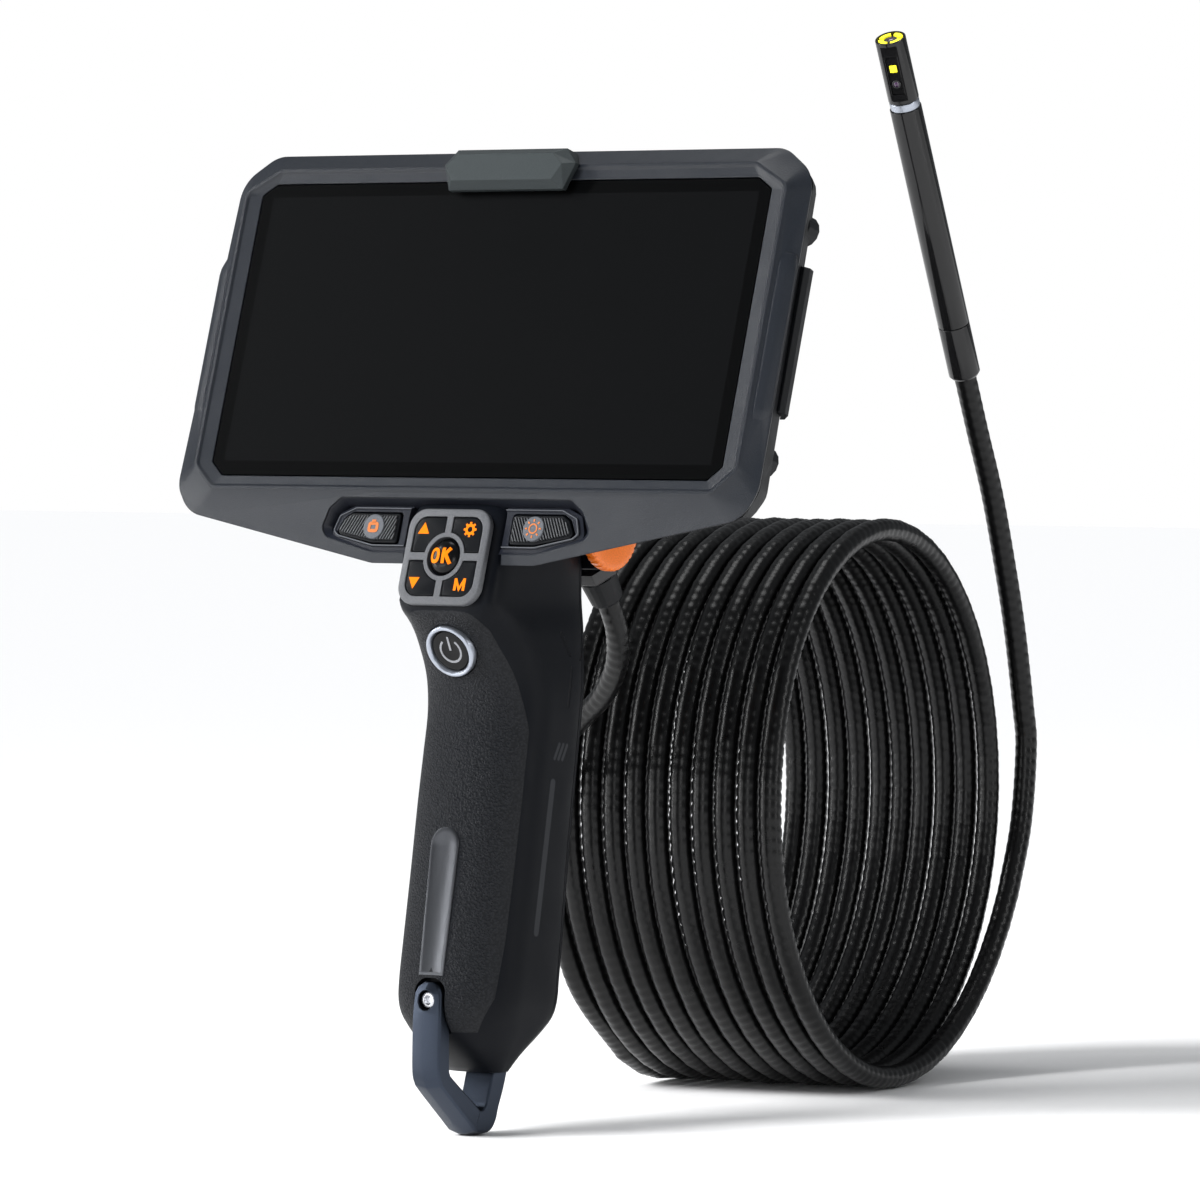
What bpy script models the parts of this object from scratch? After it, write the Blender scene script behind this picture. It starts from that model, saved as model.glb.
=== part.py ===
"""Handheld inspection camera: a tilted display on a pistol grip, with a coiled cable and a turning probe.

All lengths are millimetres in a design frame whose origin is the centre of the display glass
(X right, Y away from the user, Z up). to_world() turns them into metres standing on the floor.
"""
import math

import bmesh
import bpy
from mathutils import Vector

MM = 0.001
FOOT_DROP = 199.0                 # the carry loop's foot below the display centre
BACK_SHIFT = -9.27                 # puts the middle of the body's depth on Y = 0
TILT = math.radians(17.05)        # the display leans back by this much
GAP = 0.35                        # clearance between neighbouring pieces

# display, in its own plane: x across, h up the face, d toward the user
OUTLINE = [(25, -59.7), (85.2, -47.7), (89.4, -41.0), (88.2, 39.6), (78.6, 46.5)]
RIM = [(25, -42.2), (77, -42.2), (83.7, -36.2), (83.7, 36), (73.5, 41.8)]
GLASS = [(25, -38.6), (74.8, -38.6), (78.7, -35.1), (78.7, 35.2), (74.3, 38.1)]
BACK_PANEL = [(24, -39.5), (60, -37), (66, -31), (66, 20), (58, 26)]
POCKET = [(10, -43.9), (35.4, -44.1), (39.0, -46.5), (41.3, -51.5), (39.5, -53.5), (25, -57), (10, -57)]
DECK = [(12, -45.6), (31.8, -45.6), (36.6, -47.7), (38.0, -51.9), (36.2, -53.3), (25, -55.7), (12, -55.7)]
WEDGE = [(17.3, -47.3), (32.4, -47.3), (34.5, -48.6), (36.3, -51.9), (35.2, -52.9), (25, -54.8),
         (17.3, -54.8)]
CREST_D = -2.5                    # depth of the bezel's outer edge at mid height
SEAM_D = -3.7
LEAN = -0.02                      # the outer edge falls back toward the top
CHIN_DROP = 2.3                   # and again along the chin

# keypad on the front of the head
KEY_H = -58.7
KEY_D = -1.4
FRAME_W, FRAME_H = 12.5, 12.2
WEB = 0.95
RING_R = 6.15
WELL_R = 5.0

# handle: z, front y, back y, half width, squareness of the front
HANDLE = [(-42.6, -9.0, 25.2, 12.4, 6.0), (-44.6, -12.2, 25.2, 14.9, 7.0), (-56.0, -15.7, 25.2, 14.9, 7.0),
          (-67.0, -19.1, 25.6, 14.9, 7.0), (-69.4, -19.4, 25.6, 15.1, 4.6), (-71.4, -18.5, 25.4, 15.4, 3.4),
          (-74.4, -16.6, 24.9, 15.9, 2.8), (-79.3, -14.2, 24.0, 16.4, 2.5), (-85.0, -11.7, 23.2, 16.9, 2.4),
          (-90.0, -10.9, 22.3, 17.2, 2.3), (-96.0, -11.3, 21.3, 17.3, 2.2),
          (-104.0, -12.8, 20.1, 17.3, 2.2),
          (-117.0, -15.3, 18.1, 17.3, 2.2), (-134.0, -18.2, 15.7, 17.3, 2.2),
          (-150.0, -21.1, 13.8, 17.3, 2.2),
          (-161.0, -23.1, 12.4, 17.2, 2.2), (-166.0, -23.6, 12.2, 16.8, 2.2),
          (-170.0, -22.6, 11.0, 15.9, 2.2),
          (-174.0, -19.4, 7.2, 14.2, 2.2), (-179.0, -13.5, 1.8, 11.3, 2.2), (-183.3, -7.8, -0.8, 8.3, 2.2)]
HANDLE_SEAM = 5.4                 # the rear cover is this deep
GRIP_SKIN = 1.3
# edge of the grip skin: z, angle either side of the front middle
GRIP_EDGE = [(-69.9, 32), (-74, 41), (-81, 46), (-91, 54), (-99, 64), (-117, 65), (-150, 63), (-164, 59),
             (-172.5, 42)]
POWER_AT = Vector((0, -14.4, -79.3))
POWER_OUT = Vector((0, -0.911, -0.413))

# carry loop: outer and inner edge of the bar, y and z, then the height of its ridge
LOOP = [(-23.4, -160.2, -20.3, -160.2, 0.2), (-23.8, -161.3, -20.3, -161.3, 0.6),
        (-24.1, -163.0, -20.4, -163.0, 0.9), (-24.6, -168.0, -20.4, -168.0, 0.9),
        (-24.9, -176.0, -20.5, -176.0, 0.9), (-24.9, -182.4, -20.5, -181.6, 0.9),
        (-24.1, -184.9, -20.1, -182.8, 0.9), (-22.4, -186.9, -19.2, -183.9, 0.9),
        (-11.6, -196.2, -9.0, -191.7, 0.9), (-9.8, -197.6, -8.2, -192.3, 0.9),
        (-7.3, -198.1, -7.3, -192.5, 0.9), (-4.9, -198.1, -6.9, -192.4, 0.9),
        (-2.9, -197.2, -6.1, -192.0, 0.7), (-1.5, -195.3, -5.5, -191.1, 0.5),
        (-0.6, -192.7, -4.9, -189.5, 0.3), (1.5, -188.0, -3.9, -186.6, 0.2),
        (3.0, -183.75, -3.0, -183.75, 0.1)]
LOOP_HALF = 4.3
LOOP_SCREW_Z = -164.6

# rear pod and its dial
POD_AXIS = Vector((0, 28.5, -50.0))
POD_R = 10.2
POD_HALF = 14.8
DIAL_R = 10.5
GLAND_X = 7.0
GLAND_DIR = Vector((0, 0.574, -0.819))

# cable and probe
CABLE_R = 2.95
COIL_R = 71.8
COIL_PITCH = 6.35
COIL_TURNS = 10.5
COIL_YAW = math.radians(9.5)
COIL_END = Vector((12.0, 161.1, 0))       # middle of the coil's near end, 65.1 along its axis
COIL_END_AT = 65.1
LEAD_PLANE = 68.1                          # the free end rises in this plane
PROBE_R = 4.2
PROBE_BASE = (38.7, -12.2)                 # across the coil and height
PROBE_LEAN = math.radians(28.5)
FERRULE_LEN = 15.5
BARREL_LEN = 64.0
HEAD_LEN = 17.6
HEAD_R = 4.05

PAINT = {
    "housing": ((0.085, 0.093, 0.108), 0.50, 0.0), "rubber": ((0.012, 0.013, 0.016), 0.62, 0.0),
    "glass": ((0.012, 0.012, 0.013), 0.08, 0.0), "panel": ((0.019, 0.020, 0.021), 0.4, 0.0),
    "board": ((0.01, 0.09, 0.04), 0.5, 0.0), "badge": ((0.12, 0.14, 0.14), 0.38, 0.55),
    "deck": ((0.045, 0.048, 0.056), 0.45, 0.0), "frame": ((0.20, 0.21, 0.225), 0.42, 0.2),
    "key": ((0.022, 0.023, 0.025), 0.35, 0.0), "handle": ((0.010, 0.011, 0.014), 0.42, 0.0),
    "grip": ((0.035, 0.037, 0.042), 0.65, 0.0), "plate": ((0.20, 0.21, 0.23), 0.32, 0.8),
    "silver": ((0.72, 0.74, 0.78), 0.25, 1.0), "gloss": ((0.008, 0.008, 0.009), 0.12, 0.0),
    "anodised": ((0.10, 0.125, 0.17), 0.35, 0.85), "steel": ((0.55, 0.56, 0.58), 0.3, 1.0),
    "orange": ((0.80, 0.20, 0.015), 0.4, 0.0), "cell": ((0.05, 0.16, 0.30), 0.4, 0.0),
    "cable": ((0.010, 0.010, 0.011), 0.33, 0.0), "lens": ((0.03, 0.01, 0.04), 0.05, 0.0),
    "led": ((0.95, 0.80, 0.05), 0.3, 0.0), "dark": ((0.03, 0.03, 0.032), 0.4, 0.0)}


# ---------------------------------------------------------------- frames and outlines
def to_world(p):
    """Design millimetres to metres on the floor."""
    return Vector((p[0], p[1] + BACK_SHIFT, p[2] + FOOT_DROP)) * MM


def face_point(x, h, d):
    """A point given in the display's own plane, in the design frame."""
    return Vector((x, h * math.sin(TILT) - d * math.cos(TILT), h * math.cos(TILT) + d * math.sin(TILT)))


def coil_point(along, across, up):
    """A point given along the coil's axis, across it and at a height, in the design frame."""
    cos_y, sin_y = math.cos(COIL_YAW), math.sin(COIL_YAW)
    run = along - COIL_END_AT
    return Vector((COIL_END.x + run * cos_y - across * sin_y, COIL_END.y + run * sin_y + across * cos_y,
                   up))


def mirrored(half):
    """A closed outline from its right half."""
    return list(half) + [(-x, y) for x, y in reversed(half)]


def flipped(outline):
    """The same outline on the other side of the middle, still anticlockwise."""
    return [(-x, y) for x, y in reversed(outline)]


def anticlockwise(outline):
    area = sum(a[0] * b[1] - b[0] * a[1] for a, b in zip(outline, outline[1:] + outline[:1]))
    return list(outline) if area > 0 else list(reversed(outline))


def inset(outline, amount):
    """An anticlockwise outline moved inward; a negative amount moves it outward."""
    count = len(outline)
    result = []
    for i, corner in enumerate(outline):
        here = Vector(corner)
        before = (here - Vector(outline[i - 1])).normalized()
        after = (Vector(outline[(i + 1) % count]) - here).normalized()
        normal_a = Vector((-before.y, before.x))
        normal_b = Vector((-after.y, after.x))
        bisector = normal_a + normal_b
        result.append(tuple(here + bisector * (2 * amount / bisector.length_squared)))
    return result


def rounded(outline, radius, steps=3):
    """An outline with each corner turned into an arc of steps + 1 points."""
    points = []
    count = len(outline)
    for i, corner in enumerate(outline):
        here = Vector(corner)
        back = (Vector(outline[i - 1]) - here).normalized()
        ahead = (Vector(outline[(i + 1) % count]) - here).normalized()
        half = back.angle(ahead) / 2
        if half > math.radians(88):
            points += [tuple(here + (back * (1 - k / steps) + ahead * (k / steps)) * 0.8) for k in range(steps + 1)]
            continue
        reach = radius / math.tan(half)
        centre = here + (back + ahead).normalized() * (radius / math.sin(half))
        arm = here + back * reach - centre
        turn = (here + ahead * reach - centre).angle_signed(arm)
        for k in range(steps + 1):
            angle = turn * k / steps
            cos_t, sin_t = math.cos(angle), math.sin(angle)
            points.append((centre.x + arm.x * cos_t - arm.y * sin_t,
                           centre.y + arm.x * sin_t + arm.y * cos_t))
    return points


def circle(radius, count, cx=0.0, cy=0.0):
    return [(cx + radius * math.cos(math.tau * k / count), cy + radius * math.sin(math.tau * k / count))
            for k in range(count)]


def interpolate(table, z):
    """Values of a table at z by straight lines; the first column falls."""
    if z >= table[0][0]:
        return table[0][1:]
    for upper, lower in zip(table, table[1:]):
        if z >= lower[0]:
            t = (upper[0] - z) / (upper[0] - lower[0])
            return tuple(a + (b - a) * t for a, b in zip(upper[1:], lower[1:]))
    return table[-1][1:]


# ---------------------------------------------------------------- solids
def material(name):
    mat = bpy.data.materials.get(name)
    if mat is None:
        colour, rough, metal = PAINT[name]
        mat = bpy.data.materials.new(name)
        mat.use_nodes = True
        shader = mat.node_tree.nodes["Principled BSDF"]
        shader.inputs["Base Color"].default_value = (*colour, 1)
        shader.inputs["Roughness"].default_value = rough
        shader.inputs["Metallic"].default_value = metal
        mat.diffuse_color = (*colour, 1)
    return mat


def body(name, points, faces, paint, pivot=None):
    """One named closed solid from design-frame points; pivot is its origin."""
    origin = to_world(pivot) if pivot is not None else Vector()
    mesh = bpy.data.meshes.new(name)
    bm = bmesh.new()
    verts = [bm.verts.new(to_world(p) - origin) for p in points]
    for face in faces:
        bm.faces.new([verts[i] for i in face])
    bmesh.ops.remove_doubles(bm, verts=bm.verts, dist=1e-7)
    bmesh.ops.recalc_face_normals(bm, faces=bm.faces)
    bm.to_mesh(mesh)
    bm.free()
    obj = bpy.data.objects.new(name, mesh)
    obj.location = origin
    bpy.context.scene.collection.objects.link(obj)
    mesh.materials.append(material(paint))
    soften(obj)
    return obj


def soften(obj, angle=32):
    obj.data.shade_smooth()
    obj.data.set_sharp_from_angle(angle=math.radians(angle))


def loft(rings, hoop=False):
    """Points and faces through equal rings; hoop joins the last ring to the first."""
    size = len(rings[0])
    points = [p for ring in rings for p in ring]
    faces = []
    pairs = [(i, i + 1) for i in range(len(rings) - 1)]
    if hoop:
        pairs.append((len(rings) - 1, 0))
    for a, b in pairs:
        for k in range(size):
            n = (k + 1) % size
            faces.append((a * size + k, a * size + n, b * size + n, b * size + k))
    if not hoop:
        faces.append(tuple(reversed(range(size))))
        faces.append(tuple(range((len(rings) - 1) * size, len(rings) * size)))
    return points, faces


def face_prism(name, outline, d_low, d_high, paint, pivot=None, bevel=0.0):
    """An outline in the display's plane, pulled toward the user, with an optional top bevel."""
    rings = [[face_point(x, h, d_low) for x, h in outline],
             [face_point(x, h, d_high - bevel) for x, h in outline]]
    if bevel:
        rings.append([face_point(x, h, d_high) for x, h in inset(outline, bevel)])
    return body(name, *loft(rings), paint, pivot)


def turned(name, profile, base, axis, paint, count=24, side=None, hoop=False, pivot=None):
    """A turned solid: profile holds (along, radius) pairs; hoop closes an annular profile."""
    axis = axis.normalized()
    u = (side - axis * side.dot(axis)).normalized() if side else axis.orthogonal().normalized()
    v = axis.cross(u)
    rings = []
    for along, radius in profile:
        rings.append([base + axis * along + (u * x + v * y) for x, y in circle(radius, count)])
    return body(name, *loft(rings, hoop), paint, pivot)


def block(name, low, high, paint="dark"):
    """A box between two corners of the design frame."""
    corners = [(x, y) for x, y in ((low[0], low[1]), (high[0], low[1]), (high[0], high[1]),
                                   (low[0], high[1]))]
    rings = [[(x, y, z) for x, y in corners] for z in (low[2], high[2])]
    return body(name, *loft(rings), paint)


def side_prism(name, profile, x_low, x_high, paint, pivot=None):
    """A y, z profile pulled along X."""
    rings = [[(x, y, z) for y, z in profile] for x in (x_low, x_high)]
    return body(name, *loft(rings), paint, pivot)


def combine(obj, tool, how="DIFFERENCE", keep=False):
    """Applies an exact boolean and removes the tool."""
    step = obj.modifiers.new(how.lower(), "BOOLEAN")
    step.operation = how
    step.solver = "EXACT"
    step.object = tool
    tool.display_type = "WIRE"
    tool.hide_render = True
    bpy.context.view_layer.update()
    result = bpy.data.meshes.new_from_object(obj.evaluated_get(bpy.context.evaluated_depsgraph_get()))
    obj.modifiers.clear()
    old = obj.data
    obj.data = result
    bpy.data.meshes.remove(old)
    result.name = obj.name
    bm = bmesh.new()
    bm.from_mesh(result)
    bmesh.ops.remove_doubles(bm, verts=bm.verts, dist=2e-6)
    bmesh.ops.dissolve_degenerate(bm, edges=bm.edges, dist=1e-6)
    bm.to_mesh(result)
    bm.free()
    soften(obj)
    if not keep:
        bpy.data.objects.remove(tool)
    return obj


# ---------------------------------------------------------------- display housing
def face_ring(half, radius, d, edge=False, steps=2):
    """A rounded ring of the display; an edge ring follows the outer edge's fall in depth."""
    ring = rounded(mirrored(half), radius, steps)
    return [face_point(x, h, d + (edge_fall(h) if edge else 0.0)) for x, h in ring]


def edge_fall(h):
    """How far the outer edge lies behind its depth at mid height."""
    return LEAN * h - CHIN_DROP * max(0.0, min(1.0, (-42.0 - h) / 17.7))


def shrink(half, amount):
    return inset(mirrored(half), amount)[:len(half)]


def neck_slot():
    """The space the head of the handle needs through the bottom of the display."""
    return block("slot", (-15.25, -60, -90), (15.25, 60, -42.25))


def front_bezel():
    rings = [face_ring(GLASS, 1.2, -0.25), face_ring(shrink(RIM, 1.3), 2.4, 0.15),
             face_ring(shrink(RIM, 0.8), 2.6, 0.6), face_ring(RIM, 3.0, 0.6),
             face_ring(shrink(RIM, -0.4), 3.2, 0.2),
             face_ring(OUTLINE, 5.0, CREST_D, True), face_ring(shrink(OUTLINE, 0.7), 4.8, SEAM_D, True),
             face_ring(shrink(OUTLINE, 2.9), 4.0, SEAM_D, True), face_ring(RIM, 2.4, -1.9),
             face_ring(GLASS, 1.2, -2.0)]
    bezel = body("front_bezel", *loft(rings, hoop=True), "housing")
    for sign in (-1, 1):
        combine(bezel, cheek_grip(sign), "UNION")
    for sign in (-1, 1):
        outline = POCKET if sign > 0 else flipped(POCKET)
        combine(bezel, face_prism("pocket", anticlockwise(outline), -12, 6, "dark"))
    combine(bezel, neck_slot())
    combine(bezel, badge("badge_pocket", GAP))
    return bezel


def cheek_grip(sign):
    """The raised strip along each side of the bezel."""
    full = [(83.4, -1.7), (85.0, 0.9), (87.6, 0.0), (89.2, -1.9), (88.3, -2.8), (85.2, -2.4)]
    ends = [(83.4, -1.7), (84.6, -0.5), (86.4, -1.2), (87.8, -2.2), (87.8, -2.7), (85.2, -2.3)]
    rings = []
    for h, shape in ((-24.0, ends), (-20.5, full), (15.0, full), (19.0, ends)):
        rings.append([face_point(sign * x, h, d) for x, d in shape])
    return body("cheek", *loft(rings), "housing")


def badge(name, grow=0.0):
    """A bevelled plate across the top rim; its base follows the slope of the bezel."""
    low, high, half = 34.9 - grow, 45.4 + grow, 20.2 + grow
    rise = (1.0 - grow, -2.0 - grow)
    base = [(-half + 2.6, low, rise[0]), (half - 2.6, low, rise[0]), (half, 41.6, rise[0]),
            (half - 3.4, high, rise[1]), (-half + 3.4, high, rise[1]), (-half, 41.6, rise[0])]
    middle = [(x, h, 2.4) for x, h, _ in base]
    top = [(-15.5, 36.7, 5.0), (15.5, 36.7, 5.0), (17.8, 40.6, 5.0), (14.5, 43.5, 5.0), (-14.5, 43.5, 5.0),
           (-17.8, 40.6, 5.0)]
    rings = [[face_point(*p) for p in ring] for ring in (base, middle, top)]
    points, faces = loft(rings)
    faces = [face for face in faces if sorted(face) != list(range(6))]
    return body(name, points, faces + [(5, 2, 1, 0), (4, 3, 2, 5)], "badge")


def rear_housing():
    front = SEAM_D - GAP
    outer = shrink(OUTLINE, 2.3)
    rings = [face_ring(shrink(BACK_PANEL, 6.0), 2, -20.0), face_ring(shrink(BACK_PANEL, 2.2), 3, -15.0),
             face_ring(shrink(OUTLINE, 12.2), 2, -15.0), face_ring(shrink(OUTLINE, 10.8), 2.5, -13.9),
             face_ring(shrink(OUTLINE, 4.4), 4, -8.0), face_ring(shrink(OUTLINE, 4.4), 4, front, True),
             face_ring(shrink(OUTLINE, 0.9), 4.6, front, True), face_ring(outer, 4.4, -8.5),
             face_ring(shrink(OUTLINE, 9.0), 3.0, -15.5), face_ring(shrink(OUTLINE, 12.4), 2.2, -17.0),
             face_ring(BACK_PANEL, 4, -17.0), face_ring(shrink(BACK_PANEL, 4.0), 2.5, -22.0)]
    housing = body("rear_housing", *loft(rings), "rubber")
    for sign in (-1, 1):
        for h in (27.4, -31.0):
            lug = [face_point(sign * (82.9 + 4.2 * math.cos(a)), h + 4.0 * math.sin(a), 0.0)
                   for a in [math.tau * k / 14 for k in range(14)]]
            out = face_point(0, 0, 1)
            rings = [[p + out * d for p in lug] for d in (-6.6, -10.9)]
            combine(housing, body("lug", *loft(rings), "rubber"), "UNION")
    combine(housing, neck_slot())
    combine(housing, port_door("door_space", 0.0, GAP))
    combine(housing, face_box("socket_space", (70, -8.3, -12.3), (90, 5.3, -7.6)))
    for x, h in REAR_SCREWS:
        combine(housing, turned("hole", [(-3.0, 1.5), (6.0, 1.5)], face_point(x, h, -22),
                                face_point(0, 0, 1), "dark", 12))
        combine(housing, turned("head", [(-1.0, 2.9), (2.4, 2.9)], face_point(x, h, -22),
                                face_point(0, 0, 1), "dark", 16))
    return housing


REAR_SCREWS = [(-55, 17), (55, 17), (-55, -30), (55, -30)]


def face_box(name, low, high, paint="dark"):
    corners = [(low[0], low[1]), (high[0], low[1]), (high[0], high[1]), (low[0], high[1])]
    rings = [[face_point(x, h, d) for x, h in corners] for d in (low[2], high[2])]
    return body(name, *loft(rings), paint)


def port_door(name, open_by, grow=0.0):
    """The soft door along the right edge, over the charging socket."""
    profile = [(88.2, -5.9), (89.0, -7.2), (88.5, -9.4), (85.3, -12.6), (83.9, -12.6), (85.9, -9.8),
               (85.9, -5.9)]
    if grow:
        profile = [(90.5, -5.75), (90.5, -12.9), (83.6, -12.95), (83.3, -12.3), (85.5, -9.7), (85.5, -5.75)]
    rings = []
    for h in (-19.5 - grow, 17.0 + grow):
        rings.append([face_point(x, h, d) for x, d in profile])
    pivot = face_point(84.6, -1.25, -12.6) if not grow else None
    return body(name, *loft(rings), "rubber", pivot)


def screw(name, at, out, head_r, paint="steel", shaft=5.0):
    """A socket screw with its head outward."""
    profile = [(-shaft, 1.15), (-0.3, 1.15), (-0.3, head_r), (1.0, head_r), (1.4, head_r - 0.4),
               (1.4, 0.9), (0.5, 0.9)]
    return turned(name, profile, at, out, paint, 10)


def display_parts():
    front_bezel()
    rear_housing()
    glass = rounded(mirrored(shrink(GLASS, GAP)), 1.0, 2)
    face_prism("screen_glass", glass, -1.6, -0.35, "glass")
    face_box("lcd_panel", (-76.2, -36, -5.0), (76.2, 36, -2.0), "panel")
    face_box("main_board", (-60, -34, -10.2), (60, 34, -8.8), "board")
    badge("badge_plate")
    for i, (x, h) in enumerate(REAR_SCREWS, 1):
        screw("rear_screw_%d" % i, face_point(x, h, -21.9), face_point(0, 0, -1), 2.5, "steel", 3.0)
    port_door("port_door", 0.0)
    socket = [(-5.7, -11.6), (2.7, -11.6), (2.7, -8.4), (-5.7, -8.4)]
    outer = rounded(socket, 1.3, 3)
    inner = rounded(inset(socket, 0.5), 0.9, 3)
    rings = [[face_point(x, h, d) for h, d in ring] for x, ring in
             ((72.0, outer), (82.0, outer), (82.0, inner), (73.0, inner))]
    body("charge_socket", *loft(rings), "steel")


def deck(name, sign):
    """The sunk deck that carries one side button."""
    out = anticlockwise(POCKET if sign > 0 else flipped(POCKET))
    plate = anticlockwise(DECK if sign > 0 else flipped(DECK))
    edge = rounded(inset(out, GAP), 1.0, 2)
    lift = [face_point(x, h, slope_d(h) - 0.5) for x, h in edge]
    moat = rounded(inset(plate, -0.6), 1.0, 2)
    rim = rounded(plate, 1.0, 2)
    lip = rounded(inset(plate, 0.3), 0.9, 2)
    foot = rounded(inset(out, 1.95), 0.6, 2)
    rings = [[face_point(x, h, -6.2) for x, h in foot], [face_point(x, h, -4.0) for x, h in foot],
             [face_point(x, h, -4.0) for x, h in edge], lift,
             [face_point(x, h, min(slope_d(h) - 0.9, -3.2)) for x, h in moat],
             [face_point(x, h, min(slope_d(h) - 0.9, -3.2)) for x, h in rim],
             [face_point(x, h, -2.5) for x, h in lip]]
    piece = body(name, *loft(rings), "deck")
    hole = anticlockwise(WEDGE if sign > 0 else flipped(WEDGE))
    combine(piece, face_prism("hole", rounded(inset(hole, -GAP), 1.0, 2), -12, 2, "dark"))
    combine(piece, neck_slot())
    return piece


def slope_d(h):
    """Depth of the bezel's face on the chin."""
    return 0.2 - 3.9 * max(0.0, -42.2 - h) / 17.5


def side_button(name, sign):
    """A ribbed wedge key with a round disc for its symbol."""
    shape = anticlockwise(WEDGE if sign > 0 else flipped(WEDGE))
    centre = face_point(sign * 24.6, -50.9, -3)
    piece = face_prism(name, rounded(shape, 0.9, 2), -7.2, -2.1, "key", centre, 0.35)
    disc = turned("disc", [(-2.0, 2.85), (0.95, 2.85), (1.15, 2.6)], face_point(sign * 24.6, -50.9, -2.6),
                  face_point(0, 0, 1), "key", 24)
    return combine(piece, disc, "UNION")


# ---------------------------------------------------------------- keypad
def quadrant(sx, sy, shave):
    """One corner field of the keypad, less the round middle."""
    near, far_x, far_h = WEB + shave, 10.5 - shave, 10.2 - shave
    corners = [(near * sx, KEY_H + near * sy), (far_x * sx, KEY_H + near * sy),
               (far_x * sx, KEY_H + far_h * sy), (near * sx, KEY_H + far_h * sy)]
    outline = anticlockwise(corners)
    big = (far_x * sx, KEY_H + far_h * sy)
    points = []
    for i, corner in enumerate(outline):
        if abs(corner[0] - big[0]) + abs(corner[1] - big[1]) < 1e-6:
            ring = rounded(outline, 3.6 - shave, 4)
            points += ring[i * 5:(i + 1) * 5]
        else:
            points.append(corner)
    return points


def key_cylinder(radius):
    return turned("round", [(-12, radius), (12, radius)], face_point(0, KEY_H, 0), face_point(0, 0, 1),
                  "dark", 32)


def keypad():
    plate = rounded([(-FRAME_W, KEY_H - FRAME_H), (FRAME_W, KEY_H - FRAME_H), (FRAME_W, KEY_H + FRAME_H),
                     (-FRAME_W, KEY_H + FRAME_H)], 5.2, 5)
    frame = face_prism("keypad_frame", plate, KEY_D + GAP, 0.15, "frame", None, 0.35)
    names = {(-1, 1): "key_up", (1, 1): "key_settings", (-1, -1): "key_down", (1, -1): "key_mode"}
    for (sx, sy), name in names.items():
        tool = face_prism("field", quadrant(sx, sy, 0.0), -10, 6, "dark")
        combine(frame, combine(tool, key_cylinder(RING_R)))
        middle = face_point(sx * 6.8, KEY_H + sy * 6.6, -1)
        key = face_prism(name, quadrant(sx, sy, GAP), -3.9, -0.25, "key", middle, 0.3)
        combine(key, key_cylinder(RING_R + GAP))
    combine(frame, key_cylinder(WELL_R))
    dome = [(-2.6, 4.6), (0.9, 4.6), (1.5, 4.35), (1.95, 3.7), (2.3, 2.4), (2.42, 1.0)]
    turned("key_ok", dome, face_point(0, KEY_H, KEY_D + 0.1), face_point(0, 0, 1), "gloss", 28,
           pivot=face_point(0, KEY_H, -1))
    board = [(-10.2, KEY_H - 9.9), (10.2, KEY_H - 9.9), (10.2, KEY_H + 9.9), (-10.2, KEY_H + 9.9)]
    face_prism("key_board", rounded(board, 3.8, 3), -5.8, -4.8, "board")


# ---------------------------------------------------------------- handle
def handle_ring(z, shave=0.0, count=28, extra_front=0.0, span=None):
    """The handle's level section: a rounded front and a squarer back."""
    front, back, half, square = interpolate(HANDLE, z)
    middle = front + min(16.0, (back - front) * 0.5)
    half -= shave
    reach_f = middle - front - shave - extra_front
    reach_b = back - middle - shave
    ring = []
    angles = span or [math.tau * k / count for k in range(count)]
    for angle in angles:
        s, c = math.sin(angle), math.cos(angle)
        power = 2 / (square if c >= 0 else 5.0)
        x = half * math.copysign(abs(s) ** power, s)
        y = middle - (reach_f if c >= 0 else reach_b) * math.copysign(abs(c) ** power, c)
        ring.append((x, y, z))
    return ring


def handle_solid(name, shave, top, bottom, extra_front=0.0, count=28):
    levels = [row[0] for row in HANDLE if bottom < row[0] < top]
    rings = [handle_ring(z, shave, count, extra_front) for z in [top] + levels + [bottom]]
    return body(name, *loft(rings), "handle")


def seam_block(name, offset, behind):
    """Everything behind or in front of the rear cover's seam."""
    rings = []
    levels = [-30.0] + [row[0] for row in HANDLE] + [-190.0]
    profile = []
    for z in levels:
        back = interpolate(HANDLE, z)[1]
        profile.append((max(back, 5.0 if z < -172 else back) - HANDLE_SEAM + offset, z))
    edge = 70.0 if behind else -70.0
    outline = profile + [(edge, -190.0), (edge, -30.0)]
    rings = [[(x, y, z) for y, z in outline] for x in (-40, 40)]
    return body(name, *loft(rings), "dark")


def head_tool():
    """The sunk field behind the keypad frame."""
    square = [(-10.8, KEY_H - 10.5), (10.8, KEY_H - 10.5), (10.8, KEY_H + 10.5), (-10.8, KEY_H + 10.5)]
    return face_prism("field", rounded(square, 3.8, 4), -6.3, 4, "dark")


def grip_solid(name, inner, outer, widen=0.0, top=0.0, bottom=0.0):
    """The curved skin round the front of the grip, between two depths below the handle's surface."""
    first, last = GRIP_EDGE[0][0] + top, GRIP_EDGE[-1][0] - bottom
    levels = sorted({first, last, -172.0, -168.0, -161.0, -140.0,
                     -127.0} | {r[0] for r in HANDLE if last < r[0] < first}
                    | {r[0] for r in GRIP_EDGE[1:-1]}, reverse=True)
    count = 15
    rings = []
    for z in levels:
        edge = math.radians(interpolate(GRIP_EDGE,
                                        min(max(z, GRIP_EDGE[-1][0]), GRIP_EDGE[0][0]))[0] + widen)
        span = [-edge + 2 * edge * k / (count - 1) for k in range(count)]
        rings.append(handle_ring(z, outer, span=span) + list(reversed(handle_ring(z, inner, span=span))))
    return body(name, *loft(rings), "grip")


def power_tool(radius, low, high, count=32):
    return turned("round", [(low, radius), (high, radius)], POWER_AT, POWER_OUT, "dark", count,
                  Vector((1, 0, 0)))


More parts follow.
